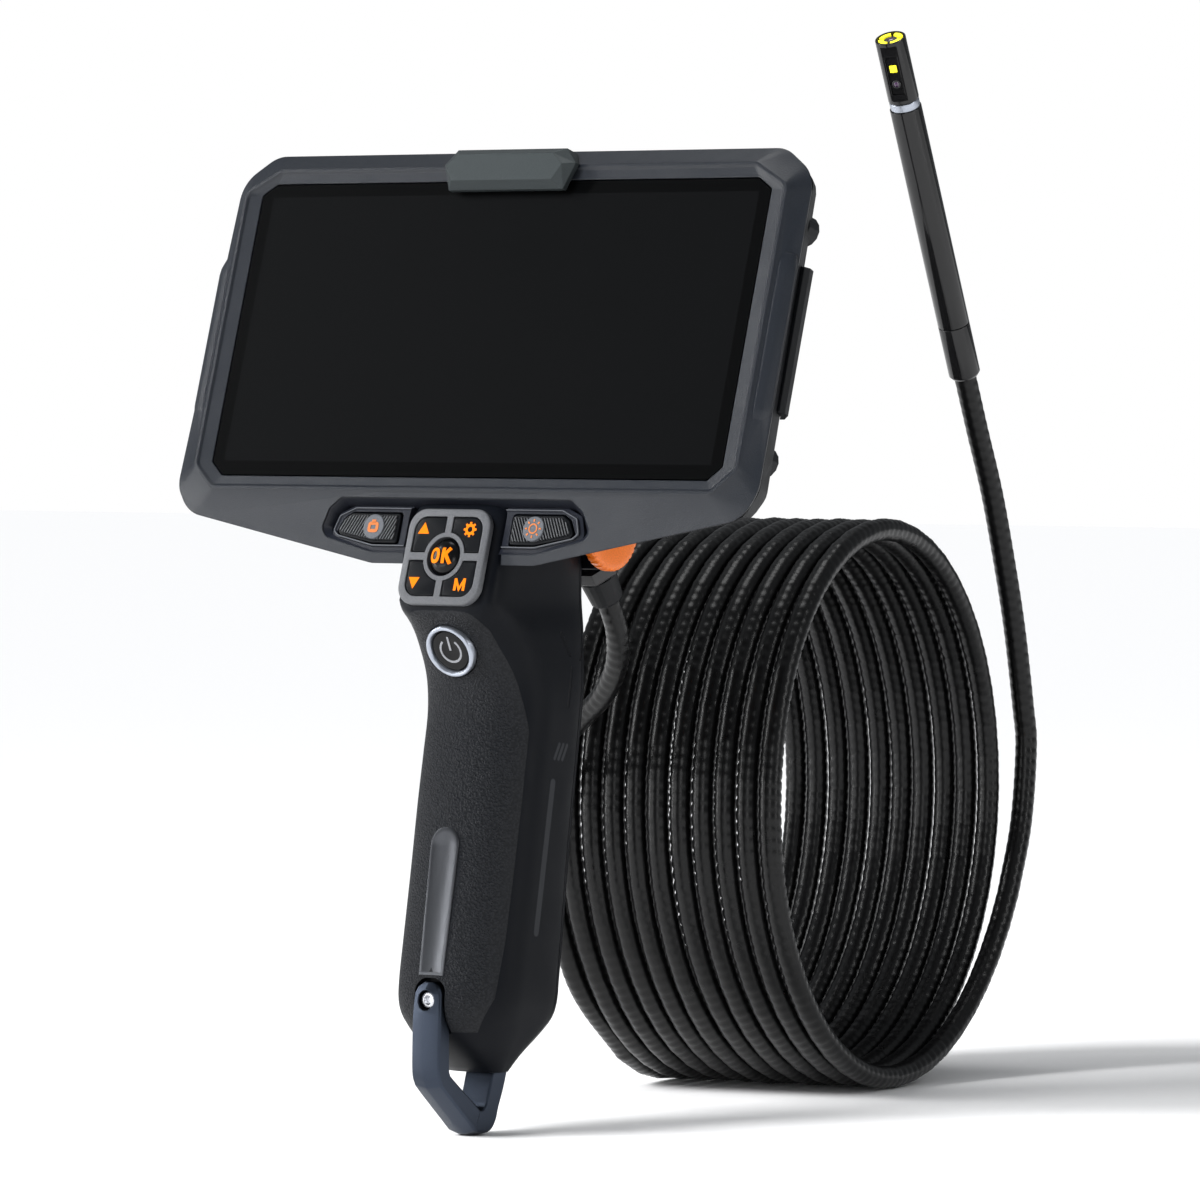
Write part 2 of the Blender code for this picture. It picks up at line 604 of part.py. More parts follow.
def loop_solid(name):
    """The bent bar of the carry loop, with a ridge along its front."""
    rings = []
    for i, (y_out, z_out, y_in, z_in, ridge) in enumerate(LOOP):
        half = LOOP_HALF * (0.34, 0.72, 0.93)[i] if i < 3 else LOOP_HALF
        out = Vector((0, y_out - y_in, z_out - z_in)).normalized()
        if z_out == -198.1:
            out = Vector((0, 0, -1))
        flat = 1.2 if z_out < -196 else 0.3
        crest = (y_out + out.y * ridge, z_out + out.z * ridge)
        rings.append([(-half, y_in, z_in), (half, y_in, z_in), (half, y_out, z_out), (flat, *crest),
                      (-flat, *crest),
                      (-half, y_out, z_out)])
    return body(name, *loft(rings), "anodised")


def loop_channel():
    """The groove the loop's front arm lies in."""
    rings = []
    for z, half in ((-159.2, 1.6), (-160.4, 3.6), (-162.2, 4.65), (-190.0, 4.65)):
        rings.append([(-half, -32, z), (half, -32, z), (half, -20.05, z), (-half, -20.05, z)])
    return body("channel", *loft(rings), "dark")


def plate_shape(grow):
    """The long round-ended field of the nameplate: x and z."""
    half, top, low = 4.3 + grow, -122.4 + grow, -158.6 - grow
    arc = [(half * math.cos(math.pi * k / 10),
            top - 4.3 + half * math.sin(math.pi * k / 10)) for k in range(11)]
    return arc + [(-half, low), (half, low)]


def plate_solid(name, grow, rear, front):
    """A plate that follows the slope of the grip's front."""
    slope = (23.1 - 15.3) / 44.0
    rings = []
    for depth in (rear, front):
        rings.append([(x, -15.3 - (-117.0 - z) * slope + depth, z) for x, z in plate_shape(grow)])
    return body(name, *loft(rings), "plate")


def handle_parts():
    shell = handle_solid("handle_shell", 0.0, -42.6, -183.3)
    cavity_levels = [-50.0, -68.8, -74.0, -79.3, -85.0, -96.0, -117.0, -150.0, -161.0, -166.0, -172.0]
    rings = []
    for z in cavity_levels:
        deep = 6.4 if z > -72 else (4.4 if z > -88 else 1.6)
        rings.append(handle_ring(z, 2.6, 18, deep))
    cavity = body("cavity", *loft(rings), "dark")
    back = handle_solid("handle_back", 0.0, -42.6, -183.3)
    for piece, offset, behind in ((shell, -GAP, True), (back, 0.0, False)):
        combine(piece, cavity, keep=True)
        combine(piece, seam_block("seam", offset, behind))
    bpy.data.objects.remove(cavity)
    combine(shell, grip_solid("skin", GRIP_SKIN + GAP, -3.0, 1.6, 0.4, 0.4))
    grip = grip_solid("grip_skin", GRIP_SKIN, 0.0)
    combine(shell, head_tool())
    for piece in (shell, grip):
        combine(piece, power_tool(7.25, -4.6, 12))
        combine(piece, loop_channel())
    combine(grip, plate_solid("plate", GAP, 4, -6))
    plate_solid("nameplate", 0.0, 1.05, 0.15)
    screw_at = Vector((0, -22.4, LOOP_SCREW_Z))
    combine(shell, turned("hole", [(-12, 1.5), (8, 1.5)], screw_at, Vector((0, -1, 0)), "dark", 12))
    loop = loop_solid("carry_loop")
    combine(loop, turned("hole", [(-8, 1.5), (8, 1.5)], screw_at, Vector((0, -1, 0)), "dark", 12))
    combine(loop, turned("bore", [(-0.75, 2.4), (8, 2.4)], screw_at, Vector((0, -1, 0)), "dark", 24))
    screw("loop_screw", screw_at, Vector((0, -1, 0)), 2.05, "steel", 5.5)
    for i, z in enumerate((-84.0, -158.0), 1):
        back_y = interpolate(HANDLE, z)[1]
        at = Vector((0, back_y - 1.4, z))
        combine(back, turned("hole", [(-8, 1.5), (8, 1.5)], at, Vector((0, 1, 0)), "dark", 12))
        combine(back, turned("bore", [(-0.65, 2.7), (8, 2.7)], at, Vector((0, 1, 0)), "dark", 16))
        screw("handle_screw_%d" % i, at, Vector((0, 1, 0)), 2.3, "steel", 3.2)
    ring = [(-3.9, 6.9), (0.55, 6.9), (0.95, 6.5), (0.95, 5.95), (0.5, 5.55), (-3.9, 5.55)]
    turned("power_ring", ring, POWER_AT, POWER_OUT, "silver", 28, Vector((1, 0, 0)), True)
    press = [(-2.6, 5.2), (0.1, 5.2), (0.3, 4.95), (0.1, 1.0)]
    turned("power_button", press, POWER_AT, POWER_OUT, "gloss", 28, Vector((1, 0, 0)), pivot=POWER_AT)
    cell_axis = Vector((0, -0.160, -0.987)).normalized()
    cell = [(0, 9.9), (0.6, 10.5), (69.4, 10.5), (70, 9.9)]
    turned("battery_cell", cell, Vector((0, 5.0, -93.5)), cell_axis, "cell", 24)


# ---------------------------------------------------------------- rear pod
def pod_parts():
    cy, cz = POD_AXIS.y, POD_AXIS.z
    start = -math.acos((25.55 - cy) / POD_R)
    arc = [(cy + POD_R * math.cos(a), cz + POD_R * math.sin(a))
           for a in [start + (0.35 - start) * k / 12 for k in range(13)]]
    profile = arc + [(28.5, -17.0), (18.1, -17.3), (10.7, -41.85), (25.55, -41.85)]
    pod = side_prism("rear_pod", profile, -POD_HALF, POD_HALF, "handle")
    right = Vector((1, 0, 0))
    combine(pod, turned("bore", [(6.6, 2.5), (30, 2.5)], POD_AXIS, right, "dark", 20))
    wheel = [(15.35, 7.8), (18.0, 7.8), (18.4, 8.2), (18.4, 9.8), (17.7, 10.5), (15.9, 10.5), (15.35, 10.0)]
    turned("dial_ring", wheel, POD_AXIS, right, "orange", 28, Vector((0, 1, 0)), True, POD_AXIS)
    hub = [(7.2, 2.15), (15.35, 2.15), (15.35, 7.4), (18.8, 7.4), (19.3, 6.9), (19.3, 3.4), (18.6, 3.0)]
    turned("dial_hub", hub, POD_AXIS, right, "gloss", 24, Vector((0, 1, 0)), pivot=POD_AXIS)
    at = POD_AXIS + right * GLAND_X
    bore = CABLE_R + GAP
    hexed = bore / math.cos(math.pi / 6) + 0.1
    nut = [(POD_R + 0.4, hexed), (POD_R + 0.4, 6.3), (POD_R + 3.4, 6.3), (POD_R + 4.0, 5.7),
           (POD_R + 4.0, hexed)]
    turned("gland_nut", nut, at, GLAND_DIR, "dark", 6, right, True)
    boot = [(POD_R + 4.35, bore), (POD_R + 4.35, 4.9), (POD_R + 11.3, 4.2), (POD_R + 11.9, 3.7),
            (POD_R + 11.9, bore)]
    turned("cable_boot", boot, at, GLAND_DIR, "rubber", 20, right, True)


# ---------------------------------------------------------------- cable and probe
TAIL = [(7, 35.3, -59.7), (7, 38.5, -64.3), (7, 42.0, -69.3), (5.2, 47.8, -76.6), (0.0, 54.5, -85.0),
        (-9.0, 61.0, -93.0), (-20.0, 66.5, -99.5), (-30.5, 70.3, -106.5), (-36.9, 72.2, -115.5),
        (-38.8, 72.6, -126.0)]
LEAD = [(78.4, -136.0), (79.2, -120.0), (77.3, -102.0), (71.4, -80.5), (64.4, -62.0), (56.2, -43.5),
        (46.2, -26.0), (35.9, -7.2)]


def smooth_route(points, spacing):
    """Points every spacing along a smooth curve through the given ones."""
    points = [Vector(p) for p in points]
    padded = [points[0] * 2 - points[1]] + points + [points[-1] * 2 - points[-2]]
    fine = []
    for a, b, c, d in zip(padded, padded[1:], padded[2:], padded[3:]):
        for k in range(24):
            t = k / 24
            fine.append(((b * 2) + (c - a) * t + (a * 2 - b * 5 + c * 4 - d) * t * t
                         + (b * 3 - a - c * 3 + d) * t ** 3) / 2)
    fine.append(points[-1])
    length = sum((b - a).length for a, b in zip(fine, fine[1:]))
    pieces = max(2, round(length / spacing))
    route, run, want = [fine[0]], 0.0, 1
    for a, b in zip(fine, fine[1:]):
        step = (b - a).length
        while want < pieces and run + step >= length * want / pieces:
            route.append(a.lerp(b, (length * want / pieces - run) / step))
            want += 1
        run += step
    return route + [fine[-1]]


def tube(name, points):
    curve = bpy.data.curves.new(name, "CURVE")
    curve.dimensions = "3D"
    curve.bevel_depth = CABLE_R * MM
    curve.bevel_resolution = 2
    curve.use_fill_caps = True
    line = curve.splines.new("POLY")
    line.points.add(len(points) - 1)
    for slot, p in zip(line.points, points):
        slot.co = (*to_world(p), 1)
    curve.materials.append(material("cable"))
    obj = bpy.data.objects.new(name, curve)
    bpy.context.scene.collection.objects.link(obj)
    return obj


def cable_parts():
    tube("cable_tail", smooth_route(TAIL, 2.2 * 2 * CABLE_R))
    tube("cable_lead", smooth_route([coil_point(LEAD_PLANE, s, z) for s, z in LEAD], 2.2 * 2 * CABLE_R))
    axis = coil_point(1, 0, 0) - coil_point(0, 0, 0)
    centre = coil_point(0, 0, 0)
    centre.z = -FOOT_DROP + COIL_R + CABLE_R + 0.1
    length = COIL_TURNS * COIL_PITCH
    outer, inner = COIL_R + CABLE_R, COIL_R - CABLE_R
    profile = [(-CABLE_R, inner + 1.2), (-CABLE_R, outer - 1.2), (-CABLE_R + 1.2, outer),
               (length - 1.6, outer),
               (length - 0.4, outer - 1.2), (length - 0.4, inner + 1.2), (length - 1.6, inner),
               (-CABLE_R + 1.2, inner)]
    turned("cable_coil", profile, centre, axis, "cable", 48, Vector((0, 0, 1)), True)


def probe_frame():
    """The probe's base, its direction and the way its side window looks."""
    base = coil_point(LEAD_PLANE, *PROBE_BASE)
    ahead = (coil_point(LEAD_PLANE, PROBE_BASE[0] - math.sin(PROBE_LEAN),
                        PROBE_BASE[1] + math.cos(PROBE_LEAN)) - base)
    axis = ahead.normalized()
    look = Vector((0.30, -0.95, 0.0))
    look = (look - axis * look.dot(axis)).normalized()
    return base, axis, look


def probe_parts():
    base, axis, look = probe_frame()
    bore = CABLE_R + GAP
    ferrule = [(0.0, bore), (0.0, 3.9), (0.9, PROBE_R), (FERRULE_LEN - 0.3, PROBE_R),
               (FERRULE_LEN, PROBE_R - 0.3),
               (FERRULE_LEN, 2.0), (7.0, 2.0), (7.0, bore)]
    turned("probe_ferrule", ferrule, base, axis, "gloss", 20, look, True)
    low = FERRULE_LEN + GAP
    high = low + BARREL_LEN
    barrel = [(low, PROBE_R - 0.3), (low + 0.3, PROBE_R), (high - 0.2, PROBE_R), (high, PROBE_R - 0.2),
              (high, 3.0)]
    barrel += [(low, 3.0)]
    turned("probe_barrel", barrel, base, axis, "gloss", 20, look, True)
    neck = [(high - 6, 1.2), (high - 6, 2.6), (high + 0.35, 2.6), (high + 0.35, 3.9), (high + 2.1, 3.9),
            (high + 2.1, 1.2)]
    turned("swivel_ring", neck, base, axis, "silver", 20, look, True)
    start = high + 2.5
    foot = base + axis * start
    rim = HEAD_LEN
    head = [(0, HEAD_R - 0.35), (0.35, HEAD_R), (rim - 0.25, HEAD_R), (rim, HEAD_R - 0.25), (rim, 3.55),
            (rim - 1.1, 3.45)]
    piece = turned("probe_head", head, foot, axis, "gloss", 28, look, pivot=foot)
    side = axis.cross(look)
    flat = oriented_box("flat", foot, axis, look, side, (0.9, 3.35, -5), (rim - 1.0, 6, 5))
    combine(piece, flat)
    combine(piece, oriented_box("sunk", foot, axis, look, side, (2.6, 2.5, -1.75), (rim - 4.2, 6, 1.75)))
    combine(piece, turned("eye", [(rim - 3.2, 1.75), (rim + 2, 1.75)], foot, axis, "dark", 20, look))
    window = oriented_box("side_window", foot, axis, look, side, (2.95, 2.85, -1.4),
                          (rim - 4.55, 3.3, 1.4), "dark", foot)
    combine(window, turned("lens_hole", [(-1, 0.95), (5, 0.95)], foot + axis * 6.3, look, "dark", 16))
    combine(window, oriented_box("led_hole", foot, axis, look, side, (9.3, 2, -0.95), (11.2, 6, 0.95)))
    turned("side_lens", [(2.9, 0.6), (3.2, 0.6), (3.38, 0.3)], foot + axis * 6.3, look, "lens", 16,
           pivot=foot)
    oriented_box("side_led", foot, axis, look, side, (9.65, 2.85, -0.6), (10.85, 3.4, 0.6), "led", foot)
    turned("front_lens_disc", [(rim - 2.8, 1.4), (rim - 0.7, 1.4), (rim - 0.55, 1.25), (rim - 0.9, 0.6)],
           foot, axis,
           "dark", 20, look, pivot=foot)
    for k in range(4):
        angle = math.radians(45 + 90 * k)
        led_out = look * math.cos(angle) + side * math.sin(angle)
        led_side = axis.cross(led_out)
        oriented_box("front_led_%d" % (k + 1), foot, axis, led_out, led_side, (rim - 0.75, 2.15, -1.15),
                     (rim - 0.2, 3.1, 1.15), "led", foot)


def oriented_box(name, at, axis, look, side, low, high, paint="dark", pivot=None):
    """A box measured along the probe, outward and sideways."""
    corners = [(low[1], low[2]), (high[1], low[2]), (high[1], high[2]), (low[1], high[2])]
    rings = [[at + axis * along + look * out + side * across for out,
              across in corners] for along in (low[0], high[0])]
    return body(name, *loft(rings), paint, pivot)


def clear_scene():
    for obj in list(bpy.data.objects):
        bpy.data.objects.remove(obj)


def build():
    clear_scene()
    display_parts()
    deck("button_deck_left", -1)
    deck("button_deck_right", 1)
    side_button("photo_button", -1)
    side_button("light_button", 1)
    keypad()
    handle_parts()
    pod_parts()
    cable_parts()
    probe_parts()


build()
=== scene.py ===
"""Looks for the handheld inspection camera: shells, leather grip, keys with their symbols, and the cable.

Shapes are in the design frame of the part: millimetres, origin at the display's centre, X right, Y away
from the user, Z up. to_world() gives metres on the floor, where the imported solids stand.
"""

import math
import random

import bmesh
import bpy
from mathutils import Matrix, Vector


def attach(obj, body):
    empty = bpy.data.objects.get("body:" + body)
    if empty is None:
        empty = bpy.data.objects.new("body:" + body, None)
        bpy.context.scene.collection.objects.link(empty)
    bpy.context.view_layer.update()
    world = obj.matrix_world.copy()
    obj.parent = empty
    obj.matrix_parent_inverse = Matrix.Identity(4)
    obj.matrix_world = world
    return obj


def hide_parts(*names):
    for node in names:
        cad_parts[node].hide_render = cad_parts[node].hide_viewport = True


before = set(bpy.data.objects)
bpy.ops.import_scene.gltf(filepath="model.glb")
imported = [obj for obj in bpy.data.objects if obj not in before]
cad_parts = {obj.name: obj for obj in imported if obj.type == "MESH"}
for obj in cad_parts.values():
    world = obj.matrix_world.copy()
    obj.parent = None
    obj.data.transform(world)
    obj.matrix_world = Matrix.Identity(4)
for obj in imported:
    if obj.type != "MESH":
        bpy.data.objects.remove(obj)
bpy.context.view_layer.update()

MM = 0.001
FOOT_DROP = 199.0
BACK_SHIFT = -9.27
TILT = math.radians(17.05)
GAP = 0.35
PICTURE = (74.95, 34.6)           # half size of the lit picture area

# camera: angle round the object, height angle, and where the display sits in its view
VIEW_AZ, VIEW_EL = math.radians(36.22), math.radians(1.73)
VIEW_BACK, VIEW_RIGHT, VIEW_UP = 2037.4, -28.07, 67.16
LENS, SENSOR = 247.95, 36.0

# display outlines: across and up, right half
OUTLINE = [(25, -59.7), (85.2, -47.7), (89.4, -41.0), (88.2, 39.6), (78.6, 46.5)]
RIM = [(25, -42.2), (77, -42.2), (83.7, -36.2), (83.7, 36), (73.5, 41.8)]
GLASS = [(25, -38.6), (74.8, -38.6), (78.7, -35.1), (78.7, 35.2), (74.3, 38.1)]
POCKET = [(10, -57.0), (25, -57.0), (39.5, -53.5), (41.3, -51.5), (39.0, -46.5), (35.4, -43.8)]
DECK = [(12, -45.6), (31.8, -45.6), (36.6, -47.7), (38.0, -51.9), (36.2, -53.3), (25.0, -55.7), (12, -55.7)]
WEDGE = [(17.3, -47.3), (32.4, -47.3), (34.5, -48.6), (36.3, -51.9), (35.2, -52.9), (25.0, -54.8),
         (17.3, -54.8)]
CREST_D, SEAM_D, LEAN, CHIN_DROP = -2.5, -3.7, -0.02, 2.3

KEY_H, KEY_D = -58.7, -1.4
FRAME_W, FRAME_H = 12.5, 12.2
WEB, RING_R, WELL_R = 0.95, 6.15, 5.0

# handle: z, front y, back y, half width, squareness of the front
HANDLE = [(-42.6, -9.0, 25.2, 12.4, 6.0), (-44.6, -12.2, 25.2, 14.9, 7.0), (-56.0, -15.7, 25.2, 14.9, 7.0),
          (-67.0, -19.1, 25.6, 14.9, 7.0), (-69.4, -19.4, 25.6, 15.1, 4.6), (-71.4, -18.5, 25.4, 15.4, 3.4),
          (-74.4, -16.6, 24.9, 15.9, 2.8), (-79.3, -14.2, 24.0, 16.4, 2.5), (-85.0, -11.7, 23.2, 16.9, 2.4),
          (-90.0, -10.9, 22.3, 17.2, 2.3), (-96.0, -11.3, 21.3, 17.3, 2.2),
          (-104.0, -12.8, 20.1, 17.3, 2.2),
          (-117.0, -15.3, 18.1, 17.3, 2.2), (-134.0, -18.2, 15.7, 17.3, 2.2),
          (-150.0, -21.1, 13.8, 17.3, 2.2),
          (-161.0, -23.1, 12.4, 17.2, 2.2), (-166.0, -23.6, 12.2, 16.8, 2.2),
          (-170.0, -22.6, 11.0, 15.9, 2.2),
          (-174.0, -19.4, 7.2, 14.2, 2.2), (-179.0, -13.5, 1.8, 11.3, 2.2), (-183.3, -7.8, -0.8, 8.3, 2.2)]
HANDLE_SEAM, NECK_Z, TOE_Z = 5.4, -71.4, -183.3
HEAD_SLOPE, HEAD_TOP, HEAD_ROUND = 0.307, -46.5, 3.95       # front's slope, rounded top's start and height
POWER_BORE = 7.15
POWER_AT, POWER_OUT = Vector((0, -14.4, -79.3)), Vector((0, -0.911, -0.413))

# carry loop: outer and inner edge of the bar, y and z, then the height of its ridge
LOOP = [(-23.4, -160.2, -20.3, -160.2, 0.2), (-23.8, -161.3, -20.3, -161.3, 0.6),
        (-24.1, -163.0, -20.4, -163.0, 0.9),
        (-24.6, -168.0, -20.4, -168.0, 0.9), (-24.9, -176.0, -20.5, -176.0, 0.9),
        (-24.9, -182.4, -20.5, -181.6, 0.9),
        (-24.1, -184.9, -20.1, -182.8, 0.9), (-22.4, -186.9, -19.2, -183.9, 0.9),
        (-11.6, -196.2, -9.0, -191.7, 0.9),
        (-9.8, -197.6, -8.2, -192.3, 0.9), (-7.3, -198.1, -7.3, -192.5, 0.9),
        (-4.9, -198.1, -6.9, -192.4, 0.9),
        (-2.9, -197.2, -6.1, -192.0, 0.7), (-1.5, -195.3, -5.5, -191.1, 0.5),
        (-0.6, -192.7, -4.9, -189.5, 0.3),
        (1.5, -188.0, -3.9, -186.6, 0.2), (3.0, -183.75, -3.0, -183.75, 0.1)]
LOOP_HALF, LOOP_SCREW_Z = 4.3, -164.6

POD_AXIS, POD_R = Vector((0, 28.5, -50.0)), 10.2

# cable and probe
CABLE_R, COIL_R, COIL_PITCH, COIL_TURNS = 2.95, 71.8, 6.35, 10.5
COIL_YAW = math.radians(9.5)
COIL_END, COIL_END_AT, LEAD_PLANE = Vector((12.0, 161.1, 0)), 65.1, 68.1
BAND = 3.0                        # spacing of the cable's spiral groove
TAIL = [(7, 35.3, -59.7), (7, 38.5, -64.3), (7, 42.0, -69.3), (5.2, 47.8, -76.6), (0.0, 54.5, -85.0),
        (-9.0, 61.0, -93.0),
        (-20.0, 66.5, -99.5), (-30.5, 71.3, -107.0), (-36.5, 76.0, -115.0)]
LEAD = [(79.2, -120.0), (77.3, -102.0), (71.4, -80.5), (64.4, -62.0), (56.2, -43.5), (46.2, -26.0),
        (35.9, -7.2)]
PROBE_R, PROBE_BASE, PROBE_LEAN = 4.2, (38.7, -12.2), math.radians(28.5)
FERRULE_LEN, BARREL_LEN, HEAD_LEN, HEAD_R = 15.5, 64.0, 17.6, 4.05


# ---------------------------------------------------------------- frames and outlines
def to_world(p):
    """Millimetres in the design frame to metres on the floor."""
    return Vector((p[0], p[1] + BACK_SHIFT, p[2] + FOOT_DROP)) * MM


def face_point(x, h, d):
    """A point across, up and toward the user from the middle of the display's tilted face."""
    return Vector((x, h * math.sin(TILT) - d * math.cos(TILT), h * math.cos(TILT) + d * math.sin(TILT)))


def coil_point(along, across, up):
    """A point along the coil's axis, across it and at a height."""
    cos_y, sin_y = math.cos(COIL_YAW), math.sin(COIL_YAW)
    run = along - COIL_END_AT
    return Vector((COIL_END.x + run * cos_y - across * sin_y, COIL_END.y + run * sin_y + across * cos_y,
                   up))


def mirrored(half):
    return list(half) + [(-x, y) for x, y in reversed(half)]


def flipped(outline):
    return [(-x, y) for x, y in reversed(outline)]


def sided(outline, sign):
    """An outline drawn for the right side, on the side asked for."""
    return outline if sign > 0 else flipped(outline)


def anticlockwise(outline):
    area = sum(a[0] * b[1] - b[0] * a[1] for a, b in zip(outline, outline[1:] + outline[:1]))
    return list(outline) if area > 0 else list(reversed(outline))


def inset(outline, amount):
    result = []
    for i, corner in enumerate(outline):
        here = Vector(corner)
        before = (here - Vector(outline[i - 1])).normalized()
        after = (Vector(outline[(i + 1) % len(outline)]) - here).normalized()
        bisector = Vector((-before.y, before.x)) + Vector((-after.y, after.x))
        result.append(tuple(here + bisector * (2 * amount / bisector.length_squared)))
    return result


def rounded(outline, radius, steps=6):
    points = []
    for i, corner in enumerate(outline):
        here = Vector(corner)
        back = (Vector(outline[i - 1]) - here).normalized()
        ahead = (Vector(outline[(i + 1) % len(outline)]) - here).normalized()
        half = back.angle(ahead) / 2
        if half > math.radians(88):
            points += [tuple(here + (back * (1 - k / steps) + ahead * (k / steps)) * 0.8)
                       for k in range(steps + 1)]
            continue
        centre = here + (back + ahead).normalized() * (radius / math.sin(half))
        arm = here + back * (radius / math.tan(half)) - centre
        turn = (here + ahead * (radius / math.tan(half)) - centre).angle_signed(arm)
        for k in range(steps + 1):
            cos_t, sin_t = math.cos(turn * k / steps), math.sin(turn * k / steps)
            points.append((centre.x + arm.x * cos_t - arm.y * sin_t,
                           centre.y + arm.x * sin_t + arm.y * cos_t))
    return points


def circle(radius, count, cx=0.0, cy=0.0, start=0.0):
    return [(cx + radius * math.cos(start + math.tau * k / count),
             cy + radius * math.sin(start + math.tau * k / count))
            for k in range(count)]


def interpolate(table, z, smooth=False):
    """Values of a table at z, whose first column falls; smooth uses a curve through the rows."""
    if z >= table[0][0]:
        return table[0][1:]
    for i, (upper, lower) in enumerate(zip(table, table[1:])):
        if z < lower[0]:
            continue
        t = (upper[0] - z) / (upper[0] - lower[0])
        if not smooth:
            return tuple(a + (b - a) * t for a, b in zip(upper[1:], lower[1:]))
        before, after = table[max(i - 1, 0)], table[min(i + 2, len(table) - 1)]
        span = upper[0] - lower[0]
        values = []
        for p, a, b, n in zip(before[1:], upper[1:], lower[1:], after[1:]):
            slope_a = (b - p) / max(before[0] - lower[0], 1e-6) * span
            slope_b = (n - a) / max(upper[0] - after[0], 1e-6) * span
            values.append(a * (2 * t ** 3 - 3 * t * t + 1) + slope_a * (t ** 3 - 2 * t * t + t)
                          + b * (3 * t * t - 2 * t ** 3) + slope_b * (t ** 3 - t * t))
        return tuple(values)
    return table[-1][1:]


# ---------------------------------------------------------------- materials
class Shader:
    """A small helper round one material's nodes; every call returns an output socket."""

    def __init__(self, name, colour, rough, metal=0.0, **sockets):
        self.mat = bpy.data.materials.new(name)
        self.mat.use_nodes = True
        self.tree = self.mat.node_tree
        self.out = self.tree.nodes["Principled BSDF"]
        self.put(self.out, "Base Color", (*colour, 1))
        self.put(self.out, "Roughness", rough)
        self.put(self.out, "Metallic", metal)
        for key, value in sockets.items():
            self.put(self.out, key.replace("_", " "), value)
        self.colour, self.rough = colour, rough
        self.mat.diffuse_color = (*colour, 1)
        self.where = self.node("ShaderNodeTexCoord").outputs["Object"]

    def put(self, node, key, value):
        if isinstance(value, bpy.types.NodeSocket):
            self.tree.links.new(value, node.inputs[key])
        else:
            node.inputs[key].default_value = value

    def node(self, kind, settings=(), **inputs):
        made = self.tree.nodes.new(kind)
        for key, value in dict(settings).items():
            setattr(made, key, value)
        for key, value in inputs.items():
            self.put(made, int(key[1:]) if key[0] == "i" and key[1:].isdigit() else key.replace("_", " "),
                     value)
        return made

    def math(self, operation, a, b=0.0, c=0.0):
        return self.node("ShaderNodeMath", {"operation": operation}, i0=a, i1=b, i2=c).outputs[0]

    def vector(self, operation, a, b, output=0):
        return self.node("ShaderNodeVectorMath", {"operation": operation}, i0=a, i1=b).outputs[output]

    def dot(self, axis, centre=(0, 0, 0)):
        """Distance along an axis from a point, in metres."""
        moved = self.vector("SUBTRACT", self.where, tuple(centre))
        return self.vector("DOT_PRODUCT", moved, tuple(axis), "Value")

    def noise(self, per_mm, detail=3.0, stretch=(1, 1, 1)):
        scaled = self.vector("MULTIPLY", self.where, tuple(1000.0 * per_mm * s for s in stretch))
        return self.node("ShaderNodeTexNoise", Vector=scaled, Scale=1.0, Detail=detail).outputs["Fac"]

    def cells(self, per_mm, feature="F1"):
        scaled = self.vector("MULTIPLY", self.where, (1000.0 * per_mm,) * 3)
        return self.node("ShaderNodeTexVoronoi", {"feature": feature}, Vector=scaled,
                         Scale=1.0).outputs["Distance"]

    def ramp(self, value, low, high, to_low=0.0, to_high=1.0):
        made = self.node("ShaderNodeMapRange", i0=value, i1=low, i2=high, i3=to_low, i4=to_high)
        return made.outputs[0]

    def mix(self, factor, a, b):
        made = self.node("ShaderNodeMix", {"data_type": "RGBA"})
        self.put(made, 0, factor)
        self.put(made, 6, a if isinstance(a, bpy.types.NodeSocket) else (*a, 1))
        self.put(made, 7, b if isinstance(b, bpy.types.NodeSocket) else (*b, 1))
        return made.outputs[2]

    def paint(self, colour):
        self.put(self.out, "Base Color", colour)

    def roughness(self, value):
        self.put(self.out, "Roughness", value)

    def bump(self, height, depth_mm, edge_mm=0.0, strength=1.0):
        made = self.node("ShaderNodeBump", Height=height, Distance=depth_mm * MM, Strength=strength)
        if edge_mm:
            rounding = self.node("ShaderNodeBevel", {"samples": 4}, Radius=edge_mm * MM)
            self.put(made, "Normal", rounding.outputs[0])
        self.put(self.out, "Normal", made.outputs[0])
        return self

    def speckle(self, amount=0.12, per_mm=2.5):
        """Faint lighter and darker grain, with the roughness varying the same way."""
        grain = self.noise(per_mm)
        dark = tuple(c * (1 - amount) for c in self.colour)
        light = tuple(min(1.0, c * (1 + amount)) for c in self.colour)
        self.paint(self.mix(self.ramp(grain, 0.35, 0.65), dark, light))
        self.roughness(self.ramp(self.noise(0.15), 0.3, 0.7, self.rough * 0.88,
                                 min(1.0, self.rough * 1.12)))
        return grain


def plastic(name, colour, rough, grain_mm=0.03, edge=0.3, metal=0.0, per_mm=2.5, amount=0.12, **sockets):
    """Moulded plastic: fine grain in colour and relief, softened edges."""
    shader = Shader(name, colour, rough, metal, **sockets)
    shader.bump(shader.speckle(amount, per_mm), grain_mm, edge)
    return shader


def brushed(name, colour, rough, stretch, per_mm=6.0, edge=0.2):
    shader = Shader(name, colour, rough, 1.0)
    lines = shader.noise(per_mm, 2.0, stretch)
    shader.paint(shader.mix(lines, tuple(c * 0.85 for c in colour), tuple(min(1, c * 1.1) for c in colour)))
    shader.roughness(shader.ramp(lines, 0.3, 0.7, rough * 0.8, rough * 1.25))
    return shader.bump(lines, 0.01, edge)


